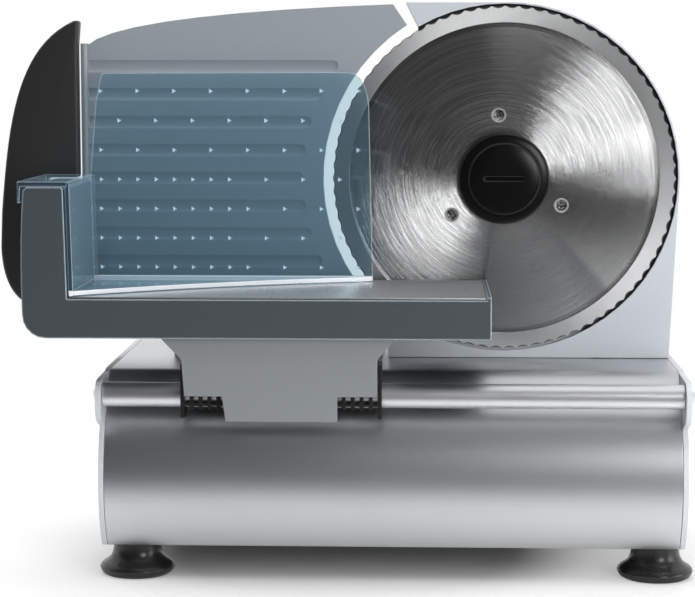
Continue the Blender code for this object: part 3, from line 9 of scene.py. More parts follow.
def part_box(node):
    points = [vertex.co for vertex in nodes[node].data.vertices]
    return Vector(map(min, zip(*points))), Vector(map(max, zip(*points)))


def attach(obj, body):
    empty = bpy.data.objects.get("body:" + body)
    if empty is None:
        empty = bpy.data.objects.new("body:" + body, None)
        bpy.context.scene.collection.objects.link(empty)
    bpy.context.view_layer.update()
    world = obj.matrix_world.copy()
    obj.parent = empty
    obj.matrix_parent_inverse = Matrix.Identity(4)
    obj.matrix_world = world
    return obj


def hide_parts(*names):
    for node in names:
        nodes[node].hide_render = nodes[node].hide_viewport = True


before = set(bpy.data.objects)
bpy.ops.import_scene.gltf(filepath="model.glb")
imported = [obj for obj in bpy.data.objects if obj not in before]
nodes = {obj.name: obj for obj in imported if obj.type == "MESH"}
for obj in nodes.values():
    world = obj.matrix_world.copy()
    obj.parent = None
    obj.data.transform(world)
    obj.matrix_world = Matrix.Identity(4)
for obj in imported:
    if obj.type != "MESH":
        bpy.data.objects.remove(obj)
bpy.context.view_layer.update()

# Base shell: one sheet of stainless steel, 1 mm thick, brushed along its length and bent into a bowed
# front, a rounded shoulder and a plain back. It hooks over the two end caps.


class Value:
    """A number or colour in a material; arithmetic on it adds the nodes."""

    def __init__(self, finish, socket):
        self.finish = finish
        self.socket = socket

    def _math(self, operation, *terms):
        return self.finish.add("Math", {"operation": operation}, dict(enumerate(terms)))

    def __add__(self, other):
        return self._math("ADD", self, other)

    def __sub__(self, other):
        return self._math("SUBTRACT", self, other)

    def __rsub__(self, other):
        return self._math("SUBTRACT", other, self)

    def __mul__(self, other):
        return self._math("MULTIPLY", self, other)

    __radd__ = __add__
    __rmul__ = __mul__

    def step(self, low, high):
        """0 below low, 1 above high and smooth between them; low above high turns it round."""
        return self.finish.add("MapRange", {"interpolation_type": "SMOOTHSTEP"},
                               {"Value": self, "From Min": low, "From Max": high})


class Finish:
    """The nodes of one material, or of the room round the object."""

    def __init__(self, owner):
        owner.use_nodes = True
        self.owner = owner
        self.tree = owner.node_tree
        self.tree.nodes.clear()

    def add(self, kind, settings=None, inputs=None, output=0):
        node = self.tree.nodes.new("ShaderNode" + kind)
        for name, value in (settings or {}).items():
            setattr(node, name, value)
        for name, value in (inputs or {}).items():
            if isinstance(value, Value):
                self.tree.links.new(value.socket, node.inputs[name])
            else:
                node.inputs[name].default_value = value
        return Value(self, node.outputs[output])

    def blend(self, share, one, two):
        """Colour one where share is 0, colour two where it is 1."""
        return self.add("Mix", {"data_type": "RGBA"}, {0: share, 6: one, 7: two}, 2)

    def place(self):
        """The point's place in the frame, in metres."""
        return self.add("TexCoord", output="Object")

    def vector(self, operation, *terms, output=0):
        return self.add("VectorMath", {"operation": operation}, dict(enumerate(terms)), output)

    def along(self, axis, vector):
        """The X, Y or Z share of a vector."""
        return self.add("SeparateXYZ", {}, {"Vector": vector}, axis)

    def noise(self, scale, detail=2.0, roughness=0.5):
        """Noise over the piece; scale is features per metre, one number or one for each axis."""
        if not isinstance(scale, tuple):
            scale = (scale, scale, scale)
        place = self.add("Mapping", {}, {"Vector": self.place(), "Scale": scale})
        return self.add("TexNoise", {}, {"Vector": place, "Scale": 1.0, "Detail": detail,
                                         "Roughness": roughness})

    def bump(self, height, under=None, strength=1.0):
        """Relief of that height in metres, over the normal called under."""
        inputs = {"Height": height, "Strength": strength, "Distance": 1.0}
        if under is not None:
            inputs["Normal"] = under
        return self.add("Bump", {}, inputs)

    def soft_edges(self, radius):
        """The normal with every edge rounded by radius, and a mask that is 1 on those edges."""
        rounded = self.add("Bevel", {"samples": 4}, {"Radius": radius})
        flat = self.add("NewGeometry", output="Normal")
        match = self.vector("DOT_PRODUCT", rounded, flat, output="Value")
        return rounded, match.step(0.995, 0.90)

    def close(self, shader):
        kind = "OutputWorld" if isinstance(self.owner, bpy.types.World) else "OutputMaterial"
        out = self.tree.nodes.new("ShaderNode" + kind)
        self.tree.links.new(shader.socket, out.inputs["Surface"])
        return self.owner


def paint(red, green, blue):
    """A colour given as it shows on screen, 0 to 255."""
    channels = []
    for c in (red, green, blue):
        c /= 255
        channels.append(c / 12.92 if c <= 0.04045 else ((c + 0.055) / 1.055) ** 2.4)
    return (*channels, 1.0)


def darker(colour, share):
    """A colour brought down to this share of its light."""
    return (*(c * share for c in colour[:3]), 1.0)


def brushed(name, colour, roughness, grain, depth, metal=1.0):
    """Brushed sheet: grain gives the streaks per metre along X, Y and Z, depth their height."""
    f = Finish(bpy.data.materials.new(name))
    streaks = f.noise(grain, 3.0, 0.6)
    fine = f.noise(tuple(g * 2.7 for g in grain), 1.0)
    broad = f.noise(9.0, 2.0)
    rounded, edge = f.soft_edges(0.0005)
    shade = f.blend(streaks * 0.35 + broad * 0.12, colour, darker(colour, 0.80))
    shader = f.add("BsdfPrincipled", {}, {
        "Base Color": shade, "Metallic": metal,
        "Roughness": streaks * 0.10 + broad * 0.06 + roughness - edge * 0.06,
        "Normal": f.bump(streaks * depth + fine * (depth * 0.4), rounded),
    })
    return f.close(shader)


def carry(names, finish, angle=32):
    """Dresses CAD pieces: merged corners, smooth over gentle angles and sharp over the rest."""
    for name in names.split():
        piece = nodes[name]
        piece.data.materials.clear()
        piece.data.materials.append(finish)
        if "custom_normal" in piece.data.attributes:
            piece.data.attributes.remove(piece.data.attributes["custom_normal"])
        piece.data.shade_smooth()
        piece.modifiers.new("weld", "WELD").merge_threshold = 1e-5
        piece.modifiers.new("edges", "EDGE_SPLIT").split_angle = math.radians(angle)


STEEL = paint(214, 216, 218)
sheet_steel = brushed("sheet_steel", STEEL, 0.31, (22.0, 3200.0, 3200.0), 4e-6)
carry("base_shell", sheet_steel)

# End caps and bottom plate: pale moulded caps plug into the sheet's ends and carry the rail; the black
# vented plate is screwed to their lugs from below.


def moulded(name, colour, roughness, grain=2200.0, depth=6e-6, wear_and_highlight=0.22, shine=0.5, soft=0.0007, wear_and_highlight_gain=1.6,
            black=None):
    """Moulded plastic: fine spark-eroded grain, faint flow marks and lighter edges, partly rubbed wear and
    partly a painted highlight.

    grain is per metre and depth its height; edges are rounded by soft, and the wear-and-highlight share
    and gain set how far edges go to a lighter colour and how many times as light it is: rubbed wear and
    painted highlight together. black gives the share of a face painted near black, as painted shade.
    """
    f = Finish(bpy.data.materials.new(name))
    skin = f.noise(grain, 2.0)
    flow = f.noise((14.0, 14.0, 30.0), 3.0)
    rounded, edge = f.soft_edges(soft)
    pale = tuple(min(1.0, c * wear_and_highlight_gain + 0.02) for c in colour[:3]) + (1.0,)
    shade = f.blend(flow * 0.16, colour, darker(colour, 0.78))
    # Edges go paler: partly rubbed wear, partly a painted highlight.
    shade = f.blend(edge * wear_and_highlight, shade, pale)
    # The share given by black paints a face near black: painted shade.
    if black is not None:
        shade = f.blend(black(f), shade, paint(22, 23, 25))
    shader = f.add("BsdfPrincipled", {}, {
        "Base Color": shade,
        "Roughness": skin * 0.08 + flow * 0.10 + (roughness - 0.09) - edge * 0.05,
        "Specular IOR Level": shine,
        "Normal": f.bump(skin * depth + flow * 4e-5, rounded),
    })
    return f.close(shader)


end_plastic = moulded("end_plastic", paint(190, 194, 199), 0.36, 1700.0, 5e-6, wear_and_highlight=0.15)
carry("end_cap_left end_cap_right", end_plastic)
black_plastic = moulded("black_plastic", paint(24, 24, 25), 0.40)
carry("base_plate", black_plastic)

# Feet: four black rubber suction cups pushed into holes in the bottom plate; each has a domed skirt
# with a rounded brim that grips the worktop, and a neck that takes the load.


def turned(profile, steps, at, axis):
    """A mesh turned round an axis through at, from (radius, distance along it) points."""
    mesh = bmesh.new()
    along = Vector(axis)
    points = [mesh.verts.new(at + Vector((r, 0, 0)) + along * d) for r, d in profile]
    edges = [mesh.edges.new(pair) for pair in zip(points, points[1:])]
    bmesh.ops.spin(mesh, geom=points + edges, cent=at, axis=axis, angle=2 * math.pi, steps=steps,
                   use_merge=True)
    bmesh.ops.remove_doubles(mesh, verts=mesh.verts, dist=1e-6)
    return mesh


def solid(name, mesh, finish, slot, body, *replaced):
    """A finished piece of the scene, which stands for the CAD pieces named last."""
    bmesh.ops.recalc_face_normals(mesh, faces=mesh.faces)
    data = bpy.data.meshes.new(name)
    mesh.to_mesh(data)
    mesh.free()
    data.materials.append(finish)
    data.shade_smooth()
    piece = bpy.data.objects.new(name, data)
    bpy.context.scene.collection.objects.link(piece)
    piece.modifiers.new("edges", "EDGE_SPLIT").split_angle = math.radians(30)
    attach(piece, body)
    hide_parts(*replaced)


foot_rubber = moulded("foot_rubber", paint(30, 30, 31), 0.27, 1600.0, 1.5e-6, wear_and_highlight=0.35)
for end in "front_left front_right rear_left rear_right".split():
    low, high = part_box("foot_" + end)
    wide = (high[0] - low[0]) / 2
    cup = turned([
        (0.0, 0.0040), (0.0060, 0.0038), (0.0110, 0.0028), (0.0150, 0.0008), (0.0164, 0.0), (0.0174, 0.0),
        (0.0188, 0.0008), (0.0198, 0.0022), (wide, 0.0038), (wide - 0.0003, 0.0047), (0.0190, 0.0059),
        (0.0172, 0.0070), (0.0156, 0.0082), (0.0144, 0.0096), (0.0135, 0.0114), (0.0130, 0.0136),
        (0.0128, 0.0182), (0.0040, 0.0182), (0.0040, high[2] - 0.0002), (0.0036, high[2]), (0.0, high[2]),
    ], 64, Vector(((low[0] + high[0]) / 2, (low[1] + high[1]) / 2, 0.0)), (0, 0, 1))
    solid("cup_" + end, cup, foot_rubber, "rubber", "base", "foot_" + end)

# Slide rail: a polished steel tube between the end caps, held by a screw at each end. All other
# screws, pins, rods and shafts have the same bright finish.


def bright(name, colour, roughness):
    """Polished steel with faint turning lines and finger haze."""
    f = Finish(bpy.data.materials.new(name))
    lines = f.noise((2600.0, 300.0, 300.0), 2.0)
    haze = f.noise(60.0, 4.0, 0.6)
    rounded, edge = f.soft_edges(0.0003)
    shader = f.add("BsdfPrincipled", {}, {
        "Base Color": f.blend(haze * 0.3, colour, darker(colour, 0.86)),
        "Metallic": 1.0,
        "Roughness": haze * 0.10 + lines * 0.04 + roughness - edge * 0.03,
        "Normal": f.bump(lines * 6e-7, rounded),
    })
    return f.close(shader)


polished_steel = bright("polished_steel", paint(222, 223, 226), 0.14)
carry("slide_rail", bright("rail_steel", paint(240, 241, 244), 0.36))
carry("rail_screw_left rail_screw_right base_screw_front_left base_screw_front_right "
      "base_screw_rear_left base_screw_rear_right cover_screw_1 cover_screw_2 cover_screw_3 cover_screw_4 "
      "guide_rod_left guide_rod_right plate_screw_1 plate_screw_2 blade_spindle cross_pin retaining_ring "
      "worm_shaft carriage_screw_left carriage_screw_right", polished_steel)

# Upright housing and rear cover: pale blue-grey moulded shells that hold the blade's bush, the worm's
# bush and the switch; the cover is held by four screws and has slots for the motor's air. The blade
# turns in a round recess of the housing, whose floor is painted near black as painted shade, and
# paler at the bottom as painted light.

low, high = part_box("blade")
BLADE_AT = Vector(((low[0] + high[0]) / 2, low[1], 0.2120))
RECESS_R = 0.0966
RECESS_DEPTH = 0.0030
PALE = paint(181, 186, 192)


def from_blade_axis(f):
    """How far a point is from the blade's axis, as a vector square to it."""
    return f.vector("MULTIPLY", f.vector("SUBTRACT", f.place(), BLADE_AT), (1.0, 0.0, 1.0))


def behind_blade_face(f):
    """How far a point is behind the blade's front face."""
    return f.along("Y", f.place()) - BLADE_AT.y


def recess_painted_shade(f):
    """Painted shade: 1 on the floor of the blade's recess, fading out towards its bottom as painted light.
    """
    from_axis = from_blade_axis(f)
    inside = f.vector("LENGTH", from_axis, output="Value").step(RECESS_R + 0.0002, RECESS_R - 0.0002)
    deep = behind_blade_face(f).step(RECESS_DEPTH - 0.0004, RECESS_DEPTH + 0.0004)
    return inside * deep * f.along("Z", from_axis).step(-0.094, -0.066)


carry("rear_cover", moulded("pale_plastic", PALE, 0.36, 1700.0, 5e-6, wear_and_highlight=0.15))
# The near-black recess floor is painted shade, made paler towards the bottom as painted light.
housing_plastic = moulded("housing_plastic", PALE, 0.36, 1700.0, 5e-6, wear_and_highlight=0.15, black=recess_painted_shade)
carry("blade_housing", housing_plastic)
carry("switch_frame power_switch", black_plastic)

# Drive: a nylon worm wheel behind the blade, a steel worm on the motor's shaft, sintered bronze
# bushes, and the motor's lacquered steel can.


def sintered(name, colour):
    """Pressed bronze: open pores and an oily sheen."""
    f = Finish(bpy.data.materials.new(name))
    pores = f.noise(3400.0, 3.0, 0.7)
    shader = f.add("BsdfPrincipled", {}, {
        "Base Color": f.blend(pores.step(0.35, 0.65), darker(colour, 0.5), colour),
        "Metallic": 1.0, "Roughness": pores * 0.2 + 0.28, "Normal": f.bump(pores * 1.5e-5),
    })
    return f.close(shader)


nylon = moulded("nylon", paint(224, 220, 206), 0.45, 1500.0, 4e-6, wear_and_highlight=0.1)
carry("drive_gear gauge_cam", nylon)
carry("spindle_bush worm_bush", sintered("bronze", paint(184, 142, 92)))
carry("motor", brushed("motor_can", paint(120, 122, 126), 0.34, (900.0, 900.0, 60.0), 3e-6))

# Blade: a 190 mm disc of hardened stainless steel, turned and brushed in rings. Its rim is ground back
# to a thin edge, with eighty hollows ground out between pointed teeth; three screws hold it to the gear.

BLADE_R = 0.0950
BLADE_T = 0.0015
BORE_R = 0.0150
GROOVE_R = 0.0834
GROOVE_DEPTH = 0.00012
BAND_R = 0.0860
BAND_MIDDLE_R = 0.0905
BAND_TILT = 0.112
EDGE_T = 0.0004
TEETH = 80
TOOTH_DEPTH = 0.0007
HOLLOW_SHARE = 0.80
FACET_DEPTH = 0.0011
RING_SPREAD = 0.86
ARC_SPREAD = 0.20
STROKE_SPREAD = 0.70
SCREW_RING_R = 0.0352
SCREW_TURNS = (95, 215, 335)
SCREW_HOLE_R = 0.0042
SCREW_HOLE_SIDES = 32


def pierce(mesh, outline, deep, narrow):
    """Sinks a hole of this outline into the flat face that is still open; narrow is its size at depth."""
    ring = [mesh.verts.new(point) for point in outline]
    edges = [mesh.edges.new((ring[k - 1], ring[k])) for k in range(len(ring))]
    grown = bmesh.ops.extrude_edge_only(mesh, edges=edges)["geom"]
    inner = [v for v in grown if isinstance(v, bmesh.types.BMVert)]
    middle = sum((v.co for v in inner), Vector()) / len(inner)
    for v in inner:
        v.co = middle + (v.co - middle) * narrow + Vector((0, deep, 0))
    bmesh.ops.contextual_create(mesh, geom=inner)


def face_up(mesh, y):
    """Closes the open flat face at y, round its holes."""
    rims = [e for e in mesh.edges if len(e.link_faces) == 1 and all(abs(v.co.y - y) < 1e-6 for v in e.verts)]
    bmesh.ops.triangle_fill(mesh, use_beauty=True, edges=rims)


def leant(f, normal, way, amount):
    """A normal leant by amount towards way."""
    return f.vector("MULTIPLY_ADD", way, f.add("CombineXYZ", {}, dict.fromkeys("XYZ", amount)), normal)


def ring_brushed(name, colour):
    """Steel brushed in rings, its ground band across them: fine relief spreads highlights into wedges."""
    f = Finish(bpy.data.materials.new(name))
    from_axis = from_blade_axis(f)
    radius = f.vector("LENGTH", from_axis, output="Value")
    heading = f.vector("NORMALIZE", from_axis)
    outward = f.add("VectorTransform", {
        "vector_type": "VECTOR", "convert_from": "OBJECT", "convert_to": "WORLD"}, {"Vector": heading})
    face = f.add("NewGeometry", output="Normal")
    across = f.vector("CROSS_PRODUCT", outward, face)
    band = radius.step(BAND_R - 0.0001, BAND_R + 0.0001)
    disc = 1.0 - band
    groove_painted_shade = radius.step(GROOVE_R - 0.0003, GROOVE_R + 0.0001) * disc
    # Marks: fine rings, short arcs and haze on the disc, radial strokes and scratches on the band; the
    # groove's ring is painted darker as painted shade.
    rings = f.add("TexWhiteNoise", {"noise_dimensions": "1D"}, {"W": radius * 20000.0})
    ring_place = f.add("CombineXYZ", {}, {"X": radius * 1100.0})
    arc_place = f.vector("MULTIPLY_ADD", heading, (3.0, 3.0, 3.0), ring_place)
    arcs = f.add("TexNoise", {}, {"Vector": arc_place, "Scale": 1.0, "Detail": 3.0})
    strokes = f.add("TexNoise", {}, {"Vector": heading, "Scale": 160.0, "Detail": 3.0})
    scratches = f.add("TexWhiteNoise", {}, {"Vector": heading})
    haze = f.noise(30.0, 3.0)
    # The facet round each hollow, painted dark as painted shade: from_middle is 0 at the middle of a
    # hollow and 1 or -1 at the points.
    turn = f.add("Math", {"operation": "ARCTAN2"}, {0: f.along("Z", from_axis), 1: f.along("X", from_axis)})
    tooth = f.add("Math", {"operation": "FRACT"}, {0: turn * (TEETH / (2 * math.pi)) + TEETH})
    from_middle = tooth * 2.0 - 1.0
    reach = radius - (from_middle * from_middle * HOLLOW_SHARE ** -2 - 1.0) * FACET_DEPTH
    facet_painted_dark = reach.step(BLADE_R - 0.0003, BLADE_R - 0.0001)
    marks_and_groove_shade = arcs.step(0.35, 0.65) * 0.55 * disc + groove_painted_shade * 0.45 + haze * 0.08 + band * strokes * 0.25
    shade = f.blend(marks_and_groove_shade, colour, darker(colour, 0.50))
    lean = ((rings - 0.5) * RING_SPREAD + (arcs - 0.5) * ARC_SPREAD) * disc - band * BAND_TILT
    normal = leant(f, face, outward, lean)
    normal = leant(f, normal, across, (scratches - 0.5) * band * STROKE_SPREAD)
    shader = f.add("BsdfPrincipled", {}, {
        # Hollow facets are painted dark: painted shade.
        "Base Color": f.blend(facet_painted_dark * 0.9, shade, paint(56, 58, 62)),
        "Metallic": 1.0,
        "Roughness": haze * 0.06 + 0.15 + band * 0.14,
        "Normal": f.vector("NORMALIZE", normal),
    })
    return f.close(shader)


def round_axis(middle, radius, turn):
    """The point at this radius and turn, in radians, round an axis along Y through middle."""
    return middle + Vector((math.cos(turn), 0, math.sin(turn))) * radius


blade_steel = ring_brushed("blade_steel", paint(222, 223, 224))
disc = turned([
    (GROOVE_R, 0.0), (GROOVE_R + 0.0003, GROOVE_DEPTH), (BAND_R - 0.0001, GROOVE_DEPTH), (BAND_R, 0.0),
    (BAND_MIDDLE_R, (BLADE_T - EDGE_T) / 2), (BLADE_R, BLADE_T - EDGE_T), (BLADE_R, BLADE_T),
    (BORE_R, BLADE_T), (BORE_R, 0.0),
], TEETH * 8, BLADE_AT, (0, 1, 0))
screws = [round_axis(BLADE_AT, SCREW_RING_R, math.radians(turn)) for turn in SCREW_TURNS]
for at in screws:
    pierce(disc, [round_axis(at, SCREW_HOLE_R, 2 * math.pi * k / SCREW_HOLE_SIDES)
                  for k in range(SCREW_HOLE_SIDES)], 0.0012, 0.62)
face_up(disc, BLADE_AT.y)
for corner in disc.verts:
    out = Vector((corner.co.x - BLADE_AT.x, 0.0, corner.co.z - BLADE_AT.z))
    if out.length > BLADE_R - 0.001:
        from_middle = 2 * (math.atan2(out.z, out.x) * TEETH / (2 * math.pi) % 1.0) - 1
        corner.co -= out.normalized() * TOOTH_DEPTH * max(0.0, 1 - (from_middle / HOLLOW_SHARE) ** 2)
solid("slicing_blade", disc, blade_steel, "blade_steel", "blade_unit", "blade")


def painted_recess_head(name):
    """A screw head: bright rim, its recess painted dark as painted shade and mottled with painted light."""
    f = Finish(bpy.data.materials.new(name))
    sunk = behind_blade_face(f).step(0.0001, 0.0003)
    spots = f.noise(1100.0, 2.0).step(0.40, 0.62)
    dark = f.blend(spots, paint(50, 50, 50), paint(190, 190, 190))
    shader = f.add("BsdfPrincipled", {}, {
        "Base Color": f.blend(sunk, paint(212, 212, 212), dark), "Metallic": 0.9,
        "Roughness": 0.55 - sunk * 0.20, "Normal": f.bump(spots * 4e-5),
    })
    return f.close(shader)


screw_head = painted_recess_head("screw_head")
for number, at in enumerate(screws, 1):
    head = turned([
        (0.0, 0.0012), (0.0012, 0.0012), (0.0020, 0.0005), (0.0029, 0.0004), (0.0032, 0.00005),
        (0.0039, 0.00005), (0.0039, 0.0003), (0.0016, 0.0024), (0.0016, 0.0126), (0.0, 0.0126),
    ], 40, at, (0, 1, 0))
    solid(f"head_{number}", head, screw_head, "polished_steel", "blade_unit", f"blade_screw_{number}")

# Blade lock: a black cap with a coin slot and a raised middle; its boss goes through the blade and hooks
# behind the spindle's cross pin, which clamps the blade to its gear.

CAP_R = 0.0253
CAP_H = 0.0057
BOSS_R = 0.0146
BOSS_BACK = 0.0092
SLOT_HALF = 0.0103
SLOT_END_R = 0.0011
SLOT_HALF_WIDTH = 0.0013
SLOT_DEPTH = 0.0026
cap = turned([
    (0.0186, -CAP_H), (0.0193, 0.0003 - CAP_H), (0.0195, 0.0009 - CAP_H), (0.0198, 0.0012 - CAP_H),
    (0.0232, 0.0014 - CAP_H), (0.0246, 0.0021 - CAP_H), (0.0252, 0.0032 - CAP_H), (CAP_R, -0.0012),
    (CAP_R - 0.0004, -0.0003), (BOSS_R, -0.0003), (BOSS_R, BOSS_BACK), (0.0, BOSS_BACK),
], 96, BLADE_AT, (0, 1, 0))
cap_face = BLADE_AT + Vector((0, -CAP_H, 0))
slot_edge = []
for side, start in ((1, -90), (-1, 90)):
    for k in range(9):
        turn = math.radians(start + k * 22.5)
        slot_edge.append(cap_face + Vector((side * SLOT_HALF + math.cos(turn) * SLOT_END_R, 0,
                                            math.sin(turn) * SLOT_HALF_WIDTH)))
pierce(cap, slot_edge, SLOT_DEPTH, 0.94)
face_up(cap, cap_face.y)
# Its edges and the ring steps on its face are painted far paler: painted highlights.
cap_plastic = moulded("cap_plastic", paint(10, 10, 9), 0.24, 1800.0, 4e-6, wear_and_highlight=0.9, shine=0.3, soft=0.0005,
                      wear_and_highlight_gain=18.0)
solid("lock_cap", cap, cap_plastic, "black_plastic", "lock", "blade_lock")

# Gauge plate: a pale moulded plate with eight shallow grooves that the food slides over. Its carrier
# runs on two rods under the deck, moved by the dial's cam.

gauge_plastic = moulded("gauge_plastic", paint(140, 146, 153), 0.34, 1700.0, 5e-6, wear_and_highlight=0.15)
carry("gauge_plate gauge_deck", gauge_plastic)
grey_plastic = moulded("grey_plastic", paint(124, 128, 131), 0.42)
carry("gauge_carrier", grey_plastic)
carry("thickness_dial", black_plastic)

# Carriage: a dark moulded tray and upright with a brushed steel sheet in it, a grey bracket below and
# a ribbed slide on the rail; a black guard keeps the thumb behind the blade's plane.

# Its rounded edges are painted far paler: a painted highlight, with a little rubbed wear.
tray_plastic = moulded("tray_plastic", paint(64, 70, 74), 0.34, 1500.0, 5e-6, wear_and_highlight=1.0, soft=0.0013, wear_and_highlight_gain=9.0)
carry("carriage_tray", tray_plastic)
carry("tray_plate", brushed("tray_steel", STEEL, 0.22, (2600.0, 24.0, 24.0), 2e-6, 0.80))
carry("carriage_bracket", grey_plastic)
carry("slide_block", black_plastic)


def slab(outline, front, back, rounding):
    """A plate of this (x, z) outline from front to back along Y, its edges rounded."""
    mesh = bmesh.new()
    face = mesh.faces.new([mesh.verts.new((x, front, z)) for x, z in outline])
    grown = bmesh.ops.extrude_face_region(mesh, geom=[face])["geom"]
    bmesh.ops.translate(mesh, verts=[v for v in grown if isinstance(v, bmesh.types.BMVert)],
                        vec=(0, back - front, 0))
    bmesh.ops.recalc_face_normals(mesh, faces=mesh.faces)
    sharp = [e for e in mesh.edges if e.calc_face_angle(0.0) > math.radians(50)]
    bmesh.ops.bevel(mesh, geom=sharp, offset=rounding, segments=4, profile=0.5, affect="EDGES", material=-1)
    return mesh


def curve(steps, *points):
    """Points of a Bezier curve through (x, z) ends and handles."""
    return [(p.x, p.y) for p in interpolate_bezier(*[Vector((x, z, 0)) for x, z in points], steps)]


low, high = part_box("thumb_guard")
left = low[0]
guard = slab(
    [(left + 0.0266, 0.1420), (left + 0.0266, 0.2128), (left + 0.0441, 0.2128), (left + 0.0441, 0.2850),
     (left + 0.0453, 0.2990)]
    + curve(22, (left + 0.0420, 0.2986), (left + 0.0100, 0.2840), (left + 0.0050, 0.2420),
            (left + 0.0008, 0.1940))
    + curve(14, (left, 0.1740), (left + 0.0005, 0.1560), (left + 0.0060, 0.1460), (left + 0.0150, 0.1420)),
    low[1], high[1], 0.0018)
# Its edges are painted paler: partly rubbed wear, partly a painted highlight.
guard_plastic = moulded("guard_plastic", paint(38, 38, 38), 0.46, 1100.0, 1.2e-5, wear_and_highlight=0.8, soft=0.0008,
                        wear_and_highlight_gain=3.0)
solid("shield", guard, guard_plastic, "black_plastic", "carriage", "thumb_guard")

# Food pusher: one clear blue moulding with a spiked plate, a side wall and a saddle that slides on the
# tray's upright. Its front end is painted navy as painted shade, and its spikes, foot and edges are
# painted pale as painted highlights, the spikes glowing faintly.

low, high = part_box("food_pusher")
PUSHER_FRONT = low[1]
PUSHER_LOW = low[2]
PUSHER_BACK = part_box("pusher_plate")[1][1] - 0.0028


def clear(name, tint, deep, body):
    """Clear plastic: tinted where light goes through; navy painted at the front end, where it is seen end
    on, as painted shade; spikes, foot and edges painted pale, the spikes also glowing, as painted
    highlights.
    """
    f = Finish(bpy.data.materials.new(name))
    depth = f.along("Y", f.place())
    height = f.along("Z", f.place())
    facing = f.along("Y", f.add("NewGeometry", output="True Normal"))
    front_end_shade = depth.step(PUSHER_FRONT + 0.0012, PUSHER_FRONT + 0.0006)
    spike_highlight = depth.step(PUSHER_BACK + 0.0001, PUSHER_BACK + 0.0004)
    foot = height.step(PUSHER_LOW + 0.0030, PUSHER_LOW + 0.0026) * facing.step(-0.30, -0.50)
    ripple = f.noise(70.0, 2.0)
    scuff = f.noise(500.0, 4.0, 0.65).step(0.62, 0.80)
    rounded, edge = f.soft_edges(0.0008)
    # Spikes, foot and edges are painted pale and the spikes glow: painted highlights; the front end's navy
    # is painted shade.
    gloss = f.add("BsdfPrincipled", {}, {
        "Base Color": f.blend(spike_highlight + foot + edge * 0.7, body, (0.95, 0.97, 1.0, 1.0)),
        "Roughness": scuff * 0.25 + 0.05,
        "Specular IOR Level": 0.6,
        "Emission Color": f.blend(spike_highlight, (0.0, 0.0, 0.0, 1.0), (0.7, 0.85, 0.95, 1.0)),
        "Emission Strength": 0.22,
        "Normal": f.bump(ripple * 6e-5, rounded),
    })
    tinted = f.add("BsdfTransparent", {}, {"Color": tint})
    end_on = f.add("BsdfTransparent", {}, {"Color": deep})
    through = f.add("MixShader", {}, {0: front_end_shade, 1: tinted, 2: end_on})
    rim = f.add("LayerWeight", {}, {"Blend": 0.30}, "Facing")
    share = rim * 0.30 + 0.05 + scuff * 0.06 + spike_highlight * 0.60 + foot * 0.70 + edge * 0.55
    return f.close(f.add("MixShader", {}, {0: share, 1: through, 2: gloss}))


clear_blue = clear("clear_blue", (0.74, 0.83, 0.87, 1.0), (0.10, 0.18, 0.32, 1.0), paint(176, 206, 222))
carry("food_pusher pusher_plate", clear_blue)

# Cord gland: a ribbed rubber sleeve, pushed into a hole in the base's back, where the supply enters
# the base.

carry("cord_gland", moulded("gland_rubber", paint(26, 26, 27), 0.6, 900.0, 1.2e-5))

# Room: a white floor under soft lamps. Bright surroundings show in the metal, with a dark strip at eye
# level on the camera's side, as the shadowed front of a studio gives.

room = bpy.data.worlds.new("room")
bpy.context.scene.world = room
air = Finish(room)
way = air.add("TexCoord", output="Generated")
way_x, way_y, way_z = (air.along(axis, way) for axis in "XYZ")
front = way_y.step(0.10, -0.35)
below = way_z.step(0.02, -0.10)
high_up = way_z.step(0.66, 0.84)
high_up = high_up * (way_x.step(-0.13, 0.06) * 0.63 + 0.02)
above = way_z.step(0.84, 0.95) * (way_x.step(-0.08, 0.12) * 0.85 + 0.10)
seen = (1.0 - front * 0.96) + front * (high_up + above + below * 0.06)
camera_ray = air.add("LightPath", output="Is Camera Ray")
glossy_ray = air.add("LightPath", output="Is Glossy Ray")
clear_ray = air.add("LightPath", output="Is Transmission Ray")
mirrored = (glossy_ray + clear_ray) * seen
matt = (1.0 - camera_ray - glossy_ray - clear_ray) * 0.31
light = camera_ray + mirrored + matt
air.close(air.add("Background", {}, {"Color": (1.0, 1.0, 1.0, 1.0), "Strength": light}))

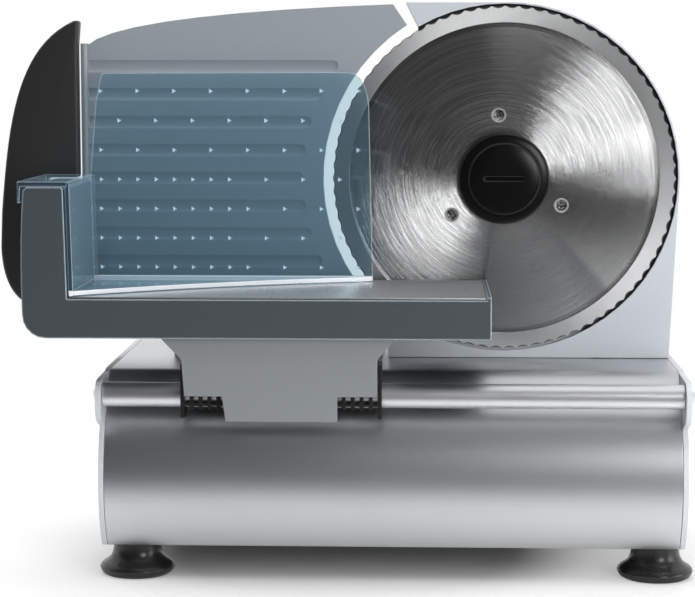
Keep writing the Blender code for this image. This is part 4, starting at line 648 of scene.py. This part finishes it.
mesh = bmesh.new()
bmesh.ops.create_grid(mesh, x_segments=1, y_segments=1, size=1.0)
bmesh.ops.scale(mesh, verts=mesh.verts, vec=(3.0, 1.7, 1.0))
bmesh.ops.translate(mesh, verts=mesh.verts, vec=(0.0, 1.3, -0.0002))
data = bpy.data.meshes.new("floor")
mesh.to_mesh(data)
mesh.free()
floor = bpy.data.objects.new("floor", data)
bpy.context.scene.collection.objects.link(floor)
f = Finish(bpy.data.materials.new("floor_paper"))
seen_by_eye = f.add("LightPath", output="Is Camera Ray")
reach = f.along("Y", f.place()).step(-0.32, -0.11)
in_metal = f.add("LightPath", output="Is Glossy Ray")
shade = f.blend((1.0 - reach) * in_metal, (0.92, 0.92, 0.92, 1.0), (0.12, 0.12, 0.12, 1.0))
paper = f.add("BsdfDiffuse", {}, {"Color": shade})
white = f.add("Emission", {}, {"Color": (1.0, 1.0, 1.0, 1.0), "Strength": 1.0})
away = f.vector("LENGTH", f.place(), output="Value")
share = seen_by_eye * (away.step(0.30, 0.85) * 0.58 + away.step(0.09, 0.15) * 0.42)
floor.data.materials.append(f.close(f.add("MixShader", {}, {0: share, 1: paper, 2: white})))


def lamp(name, power, wide, tall, place, target, roll=0.0, in_metal=False):
    """A soft rectangular lamp; roll is in degrees, and in_metal says whether gloss shows its shape."""
    light = bpy.data.lights.new(name, "AREA")
    light.energy = power
    light.shape = "RECTANGLE"
    light.size = wide
    light.size_y = tall
    holder = bpy.data.objects.new(name, light)
    bpy.context.scene.collection.objects.link(holder)
    holder.location = place
    aim = (Vector(target) - Vector(place)).to_track_quat("-Z", "Y")
    holder.rotation_euler = (aim @ Quaternion((0, 0, 1), math.radians(roll))).to_euler()
    holder.visible_glossy = in_metal


lamp("overhead", 28.0, 1.8, 1.6, (-0.1, 0.35, 1.8), (0.0, 0.1, 0.0))
lamp("front_top", 8.0, 0.8, 0.8, (0.0, -0.55, 1.5), (0.0, -0.2, 0.0))
lamp("left_front", 0.9, 0.7, 0.7, (-1.3, -0.9, 1.0), (0.0, 0.0, 0.15))
lamp("softbox", 4.3, 0.45, 0.50, (0.70, -1.20, 0.50), (0.09, 0.0, 0.21), 28, True)
lamp("right_side", 3.0, 0.5, 0.5, (1.15, -0.40, 0.30), (0.05, 0.0, 0.18), 0, True)
lamp("fill", 5.5, 0.5, 0.5, (0.65, -1.00, 0.12), (0.05, 0.0, 0.15))

# Camera: it looks at the blade from 1.16 m in front, a little above and left of its axis, with a long
# lens.

eye = bpy.data.cameras.new("eye")
eye.lens = 107.7
eye.sensor_width = 36.0
camera = bpy.data.objects.new("eye", eye)
bpy.context.scene.collection.objects.link(camera)
camera.location = BLADE_AT + Vector((-0.0438, -1.1564, 0.0576))
camera.rotation_euler = (math.radians(90 - 6.160), 0.0, math.radians(2.134))
bpy.context.scene.camera = camera
bpy.context.scene.view_settings.view_transform = "Standard"
